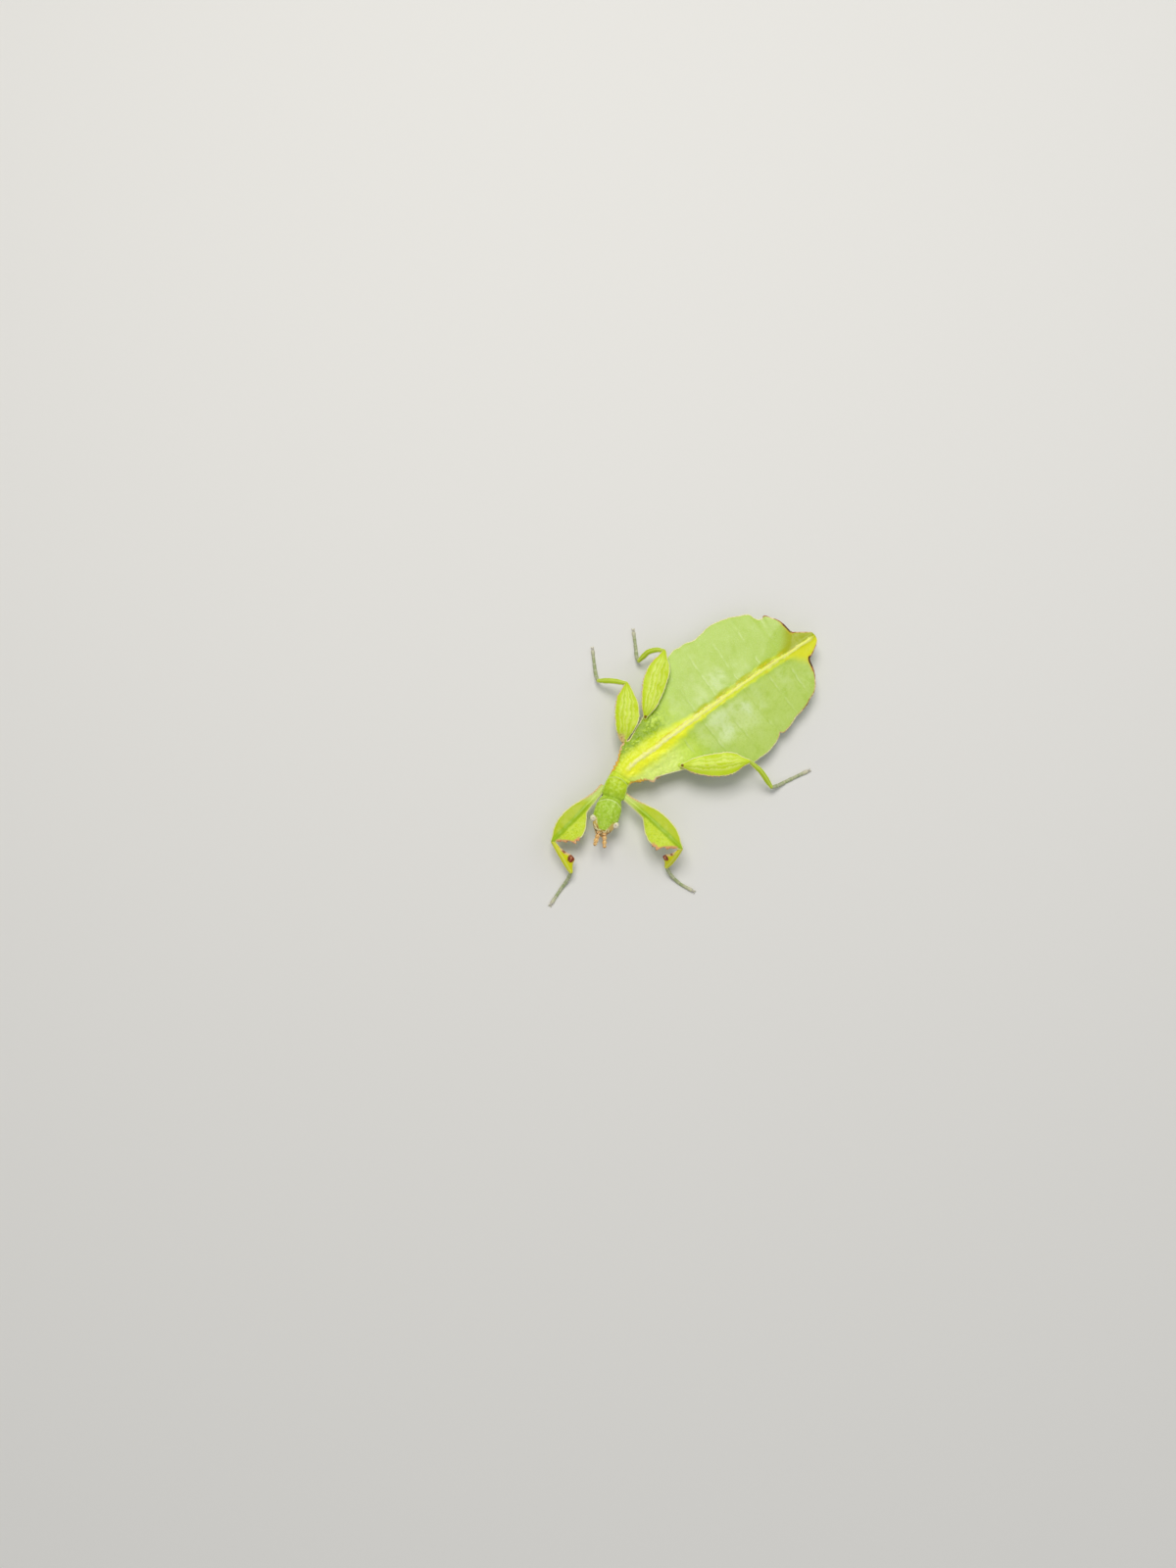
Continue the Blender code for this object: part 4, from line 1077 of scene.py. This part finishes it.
def fore_femur_skin():
    """Green with one lime rib, whitish at the base, with a cream rim and pink teeth near the knee."""
    skin = Skin("fore_femur_skin", coat=0.05)
    share, across, lobe, edge = skin.facts(*LEG_FACTS)
    soft, fine, dust = skin.clouds(1.6), skin.clouds(0.45), skin.clouds(0.2)
    worms = skin.worms(0.7, 0.07)
    colour = skin.tint(soft.between(0.35, 0.7) * 0.5, FORE_GREEN, FEMUR_GREEN)
    colour = skin.tint(fine.between(0.5, 0.3) * 0.45, colour, FORE_RIB)
    colour = skin.tint(worms * lobe.between(-0.2, 0.2) * 0.3, colour, THORAX_PALE)
    colour = skin.tint((lobe + (soft - 0.5) * 0.4).between(0.1, -0.3) * 0.75, colour, FORE_PALE)
    colour = skin.tint((share + (soft - 0.5) * 0.2).between(0.3, 0.08) * 0.45, colour, BLADE_PALE)
    rib = abs(across + (fine - 0.5) * 0.3 + (soft - 0.5) * 0.3).between(0.75, 0.3)
    colour = skin.tint(rib * share.between(0.05, 0.35) * 0.9, colour, FORE_RIB)
    colour = rim(skin, colour, edge, fine, 0.34)
    base = share.between(0.3, 0.08) * lobe.between(-0.4, -0.8) * (edge + (fine - 0.5) * 0.5).between(0.6, 0.2)
    colour = skin.tint(base * 0.7, colour, SCORCH_TAN)
    colour = skin.tint(base * dust.between(0.5, 0.62) * 0.6, colour, SCORCH_RED)
    toothed = share.between(0.64, 0.70) * share.between(0.975, 0.94) * lobe.between(0.1, 0.5)
    ragged = edge + (fine - 0.5) * 0.5
    colour = skin.tint(toothed * ragged.between(0.85, 0.35), colour, TOOTH_PINK)
    colour = skin.tint(toothed * ragged.between(0.4, 0.15) * fine.between(0.5, 0.6) * 0.8, colour, RIM_CREAM)
    colour = skin.tint(toothed * ragged.between(0.35, 0.05) * dust.between(0.48, 0.6), colour, SCORCH_RED)
    return skin.dress(colour, fine * 0.2 + 0.28, worms * 0.08 + fine * 0.35 + soft * 0.3, 0.05)


def femur_skin(name, dotted):
    """Bright lime with soft pale ridges, a darker outer lobe, orange teeth, and a brown dot or a tan base."""
    skin = Skin(name, coat=0.05)
    share, across, lobe, edge = skin.facts(*LEG_FACTS)
    soft, fine, dust = skin.clouds(1.8), skin.clouds(0.45), skin.clouds(0.2)
    colour = skin.tint(soft.between(0.35, 0.65) * 0.7, FEMUR_LIME, FEMUR_GREEN)
    outer = lobe.between(0.45, 0.7) + share.between(0.5, 0.95) * 0.5
    colour = skin.tint(outer * 0.7, colour, FEMUR_LIME)
    winding = lobe + (soft - 0.5) * 0.7 + (fine - 0.5) * 0.15
    ridges = 0
    for place, strength in ((-0.55, 0.6), (-0.2, 1.0), (0.12, 0.7), (0.45, 0.9)):
        ridges = abs(winding - place).between(0.14, 0.0) * strength + ridges
    ridges = ridges * fine.between(0.1, 0.55) * share.between(0.02, 0.2) * share.between(0.97, 0.8)
    colour = skin.tint(ridges * 0.6, colour, RIDGE_YELLOW)
    valleys = abs(winding + 0.37).between(0.1, 0.0) + abs(winding - 0.29).between(0.1, 0.0)
    colour = skin.tint(valleys * soft.between(0.3, 0.6) * 0.35, colour, FORE_RIB)
    colour = rim(skin, colour, edge, fine, 0.26)
    ragged = edge + (fine - 0.5) * 0.25
    teeth = lobe.between(0.5, 0.9) * ragged.between(0.2, 0.04) * soft.between(0.35, 0.55)
    colour = skin.tint(teeth * 0.85, colour, TOOTH_PINK)
    if dotted:
        spot = ((share + 0.01) * (share + 0.01) * 160.0 + across * across) ** 0.5 + (fine - 0.5) * 0.2
        colour = skin.tint(spot.between(0.38, 0.2) * 0.9, colour, DOT_BROWN)
    else:
        base = share.between(0.16, 0.03) * (lobe + (fine - 0.5) * 0.8).between(-0.3, 0.3)
        colour = skin.tint(base * 0.8, colour, SCORCH_TAN)
        colour = skin.tint(base * fine.between(0.5, 0.6) * 0.6, colour, SCORCH_RED)
    return skin.dress(colour, fine * 0.2 + 0.28, ridges * 0.2 + fine * 0.3 + dust * 0.1, 0.1)


def tibia_skin(name, ground, spotted):
    """Yellow-green; on the fore legs a red-brown blotch with pink flecks on the lobe."""
    skin = Skin(name, coat=0.05)
    share, across, lobe, edge = skin.facts(*LEG_FACTS)
    soft, fine, dust = skin.clouds(1.5), skin.clouds(0.45), skin.clouds(0.2)
    colour = skin.tint(soft.between(0.4, 0.7) * 0.4, ground, FEMUR_LIME)
    colour = skin.tint(abs(across).between(0.3, 0.08) * 0.3, colour, RIDGE_YELLOW)
    colour = rim(skin, colour, edge, fine, 0.14)
    if spotted:
        inner = lobe.between(0.2, 0.6) * share.between(0.2, 0.35) * share.between(0.85, 0.7)
        colour = skin.tint(inner * (edge + (fine - 0.5) * 0.5).between(0.7, 0.25) * 0.9, colour, SCORCH_TAN)
        along = share - 0.66
        out = across - 1.4
        spot = (along * along * 64.0 + out * out) ** 0.5 + (fine - 0.5) * 0.5 + (dust - 0.5) * 0.2
        colour = skin.tint(spot.between(0.95, 0.6), colour, SPOT_RED)
        colour = skin.tint(spot.between(0.7, 0.3) * fine.between(0.5, 0.62) * 0.8, colour, TOOTH_PINK)
        colour = skin.tint(spot.between(0.9, 0.4) * dust.between(0.62, 0.7) * 0.7, colour, RIM_CREAM)
        streak = abs(share - 0.4 + (fine - 0.5) * 0.1).between(0.07, 0.02) * lobe.between(0.45, 0.75)
        colour = skin.tint(streak * 0.85, colour, SPOT_RED)
    return skin.dress(colour, fine * 0.2 + 0.28, fine * 0.6 + soft * 0.4, 0.07)


def foot_skin():
    """Grey-green, half clear, paler at the joints and at the tip."""
    skin = Skin("foot_skin", see_through=0.3)
    share, joint = skin.facts("share", "across")
    soft, fine = skin.clouds(0.9), skin.clouds(0.25)
    colour = skin.tint(soft.between(0.4, 0.65) * 0.4, FOOT_GREEN, FOOT_PALE)
    colour = skin.tint(joint * 0.5, colour, FOOT_PALE)
    colour = skin.tint(share.between(0.72, 0.98) * 0.85, colour, FOOT_PALE)
    return skin.dress(colour, fine * 0.15 + 0.28, fine, 0.05)


fore_tibia_finish, tibia_finish = (
    tibia_skin("fore_tibia_skin", TIBIA_YELLOW, True), tibia_skin("tibia_skin", TIBIA_GREEN, False)
)
hip_finish, foot_finish = hip_skin("hip_skin", THORAX_GREEN), foot_skin()
LEG_FINISHES = {
    "fore": (fore_femur_skin(), fore_tibia_finish, foot_finish, hip_skin("fore_hip_skin", FORE_PALE)),
    "mid": (femur_skin("mid_femur_skin", False), tibia_finish, foot_finish, hip_finish),
    "hind": (femur_skin("hind_femur_skin", True), tibia_finish, foot_finish, hip_finish),
}


def between_rows(table, at):
    """A value between the rows of a table, along straight lines."""
    for (before, low), (after, high) in zip(table, table[1:]):
        if before <= at <= after:
            return low + (high - low) * (at - before) / (after - before)
    return 0.0


def femur_edges(pair, share):
    """Width of the front lobe of a femur and how far its teeth stand out, and the same for the rear lobe."""
    front, rear = smooth(FRONT_LOBES[pair], share), smooth(REAR_LOBES[pair], share)
    if pair == "fore":
        return (front, between_rows(TEETH, share)), (rear, 0.0)
    fine = SERRATION * (saw(share * SERRATION_COUNT) - 0.5) * min(1.0, 8 * share, 8 * (1 - share))
    fine *= 1 + wobble(share * 9, 0, 12)
    return (front, fine), (rear, 0.4 * fine)


def tibia_edges(pair, share):
    """Width of the front lobe of a tibia and that of the rear lobe, without teeth."""
    front = smooth(FORE_TIBIA_FRONT if pair == "fore" else TIBIA_SIDE, share)
    return (front, 0.0), (smooth(TIBIA_SIDE, share), 0.0)


def line_through(points):
    """A smooth line through points, as a function of millimetres from the first, and its length."""
    points = [Vector(point) for point in points]
    table = [(0.0, *points[0])]
    for here, there in zip(points, points[1:]):
        table.append((table[-1][0] + (there - here).length, *there))
    length = table[-1][0]

    def at(distance):
        """A point of the line, run on straight past its ends, and the way ahead, to the side and up."""
        inside = min(max(distance, 0.0), length)
        low, high = max(inside - 0.25, 0.0), min(inside + 0.25, length)
        behind, here, ahead = (Vector(smooth(table, d, c) for c in (1, 2, 3)) for d in (low, inside, high))
        way = (ahead - behind).normalized()
        left = UP.cross(way).normalized()
        return here + way * (distance - inside), way, left, way.cross(left)

    return functools.cache(at), length


def leafy_segment(mesh, points, edges, rib, side, lead, blunt, worn, seed):
    """A lobed segment, from a rounded end sunk in what bears it to a rounded end in the joint after it."""
    at, length = line_through(points)
    edges = functools.cache(edges)

    def place(share, turn):
        """A point of the segment with its share of the length, its place on the lobe and its edge distance."""
        distance = -lead + share * (length + lead + 0.35)
        t = min(1.0, max(0.0, distance / length))
        centre, _, left, up = at(distance)
        cap = math.sqrt(max(0.0, 1 - max(0.0, (distance - length + 0.15) / 0.5) ** 2))
        cap *= math.sqrt(max(0.0, 1 - max(0.0, 1 - (distance + lead) / blunt) ** 2))
        u = 1 - 2 * abs(turn) / math.pi
        lobe = u - 0.08 * math.sin(2 * math.pi * u)
        wide, tooth = (value * cap for value in edges(t)[0 if lobe > 0 else 1])
        wear = worn * wobble(distance * 1.6, seed + math.copysign(1, lobe), 5) * min(1.0, wide / 2)
        thick = smooth(rib, t) * cap
        thin = min(RIM, 0.6 * thick)
        crest = 1 - math.sqrt(lobe * lobe + 0.012) + 0.11 * (1 - abs(lobe))
        flat = thin * (1 - abs(lobe) ** 5) + (thick - thin) * max(0.0, crest) ** 1.6
        leaf = min(1.0, wide / 1.5) * (1 - abs(lobe) ** 4)
        flat += leaf * 0.06 * wobble(distance * 0.9 + seed, lobe * 2.5, 9)
        across = lobe * (wide + wear * abs(lobe) ** 3 + tooth * lobe**6)
        point = centre + left * side * across + up * (flat if turn >= 0 else -flat)
        return point, distance / length, across, lobe, wide * (1 - abs(lobe))

    return sweep(mesh, 56, 160, place, LEG_FACTS)


def peg(mesh, root, hip):
    """The short root of a leg, standing out of the thorax."""
    at, length = line_through((root, hip))

    def place(share, turn):
        """A stout rounded peg, a little flattened."""
        centre, _, left, up = at(share * (length + 0.3))
        thick = 0.48 * math.sqrt(max(0.0, 1 - (2 * share - 1) ** 6))
        thick *= 1 + 0.12 * wobble(share * 4, math.sin(turn), 3)
        centre = centre - UP * (0.2 + 0.5 * (1 - share))
        return centre + (left * math.cos(turn) + up * 0.6 * math.sin(turn)) * thick, 0.0, 1.0, 0.0, 1.0

    return sweep(mesh, 24, 24, place, LEG_FACTS)


def foot(mesh, points):
    """The jointed foot, flat on the floor from its first pad on, with a soft pad and two claws at the tip."""
    at, length = line_through(points)

    def place(share, turn):
        """Five short joints, each a little wider at its far end."""
        distance = -0.25 + share * (length + 0.25)
        t = min(1.0, max(0.0, distance / length))
        centre, _, left, up = at(distance)
        beat = (t * 5) % 1.0
        cap = math.sqrt(max(0.0, 1 - max(0.0, (t - 0.94) / 0.06) ** 2))
        cap *= math.sqrt(max(0.0, 1 - max(0.0, 1 - (distance + 0.25) / 0.3) ** 2))
        wide = smooth(TARSUS_SIDE, t) * (0.82 + 0.18 * beat) * cap
        point = centre + (left * math.cos(turn) + up * 0.9 * math.sin(turn)) * wide
        point.z = max(0.0, point.z)
        return point, t, ramp(0.75, 1.0, beat), 0.0, 1.0

    faces = sweep(mesh, 24, 110, place, LEG_FACTS)
    tip, way, _, _ = at(length)
    for turn_out in (-0.5, 0.5):
        heading = Vector((way.x, way.y, 0)).normalized()
        heading.rotate(Matrix.Rotation(turn_out, 3, "Z"))
        across = heading.cross(UP)

        def hook(share, turn):
            """A claw: stout at the root, curving down to a point."""
            thick = 0.2 * (1 - share) ** 0.7 + 0.02
            lift = 0.14 + 0.16 * math.sin(math.pi * share) - 0.2 * share**2
            middle = tip + heading * (share * CLAW_LENGTH - 0.3) + UP * lift
            point = middle + (across * math.cos(turn) + UP * math.sin(turn)) * thick
            point.z = max(0.0, point.z)
            return point, 1.0, 0.0, 0.0, 1.0

        faces |= sweep(mesh, 12, 16, hook, LEG_FACTS)
    return faces


for number, (name, pair, side, root, femur, tibia, tarsus) in enumerate(LEGS):
    leg_mesh = bmesh.new()
    femur_shape, tibia_shape = functools.partial(femur_edges, pair), functools.partial(tibia_edges, pair)
    lead = (Vector(femur[0]) - Vector(root)).length * (0.9 if pair == "fore" else 0.38)
    blunt = 0.4 if pair == "fore" else lead + 0.3
    parts = (
        leafy_segment(leg_mesh, femur, femur_shape, FEMUR_RIB, side, lead, blunt, 0.12, number),
        leafy_segment(leg_mesh, tibia, tibia_shape, TIBIA_RIB, side, 0.3, 0.4, 0.05, number + 10),
        foot(leg_mesh, tarsus),
        peg(leg_mesh, root, femur[0]),
    )
    for index, faces in enumerate(parts):
        for face in faces:
            face.material_index = index
    solids = tuple(f"{segment}_{name}" for segment in ("femur", "tibia", "tarsus"))
    piece(f"leg_{name}", leg_mesh, LEG_FINISHES[pair], solids)

# Floor, light and camera
# A plain pale floor, soft studio light from above, and the camera almost straight above the insect, turned so
# that its tail points to the upper right.

FLOOR_GREY = (0.78, 0.77, 0.74)
FLOOR_HALF = 1.2
VIEW_CENTRE = Vector((-3.13, -7.457, 3.0))  # what lies in the middle of the picture, in the plan
SCREEN_UP = Vector((-0.8058, 0.5922, 0.0)).normalized()
VIEW_ELEVATION = math.radians(84)
VIEW_DISTANCE = 236.7
LENS = 26.0

floor_mesh = bmesh.new()
bmesh.ops.create_grid(floor_mesh, x_segments=1, y_segments=1, size=FLOOR_HALF)
floor_data = bpy.data.meshes.new("floor")
floor_mesh.to_mesh(floor_data)
floor_mesh.free()
floor = bpy.data.objects.new("floor", floor_data)
bpy.context.scene.collection.objects.link(floor)
floor_paint = Skin("floor_paint", see_through=0.0)
floor_data.materials.append(floor_paint.dress(FLOOR_GREY, 0.7))

for name, place, size, power, colour in (
    ("key_light", (-0.25, 0.10, 0.55), 0.32, 2.35, (1.0, 0.98, 0.94)),
    ("fill_light", (0.35, -0.25, 0.45), 0.5, 0.4, (0.96, 0.98, 1.0)),
    ("back_light", (0.05, 0.45, 0.35), 0.4, 0.45, (1.0, 1.0, 1.0)),
):
    lamp = bpy.data.lights.new(name, "AREA")
    lamp.size = size
    lamp.energy = power
    lamp.color = colour
    light = bpy.data.objects.new(name, lamp)
    light.location = place
    light.rotation_mode = "QUATERNION"
    light.rotation_quaternion = (-Vector(place)).to_track_quat("-Z", "Y")
    bpy.context.scene.collection.objects.link(light)

world = bpy.data.worlds.new("studio")
world.use_nodes = True
world.node_tree.nodes["Background"].inputs["Color"].default_value = (0.95, 0.97, 1.0, 1.0)
world.node_tree.nodes["Background"].inputs["Strength"].default_value = 0.28
bpy.context.scene.world = world
bpy.context.scene.view_settings.view_transform = "Standard"

lens = bpy.data.cameras.new("camera")
lens.lens = LENS
lens.sensor_width = 36.0
lens.clip_start, lens.clip_end = 0.005, 10.0
camera = bpy.data.objects.new("camera", lens)
away = -SCREEN_UP * math.cos(VIEW_ELEVATION) + UP * math.sin(VIEW_ELEVATION)
right = SCREEN_UP.cross(away).normalized()
turned = Matrix((right, away.cross(right), away)).transposed().to_4x4()
camera.matrix_world = Matrix.Translation((VIEW_CENTRE - MIDDLE + away * VIEW_DISTANCE) * MM) @ turned
bpy.context.scene.collection.objects.link(camera)
bpy.context.scene.camera = camera
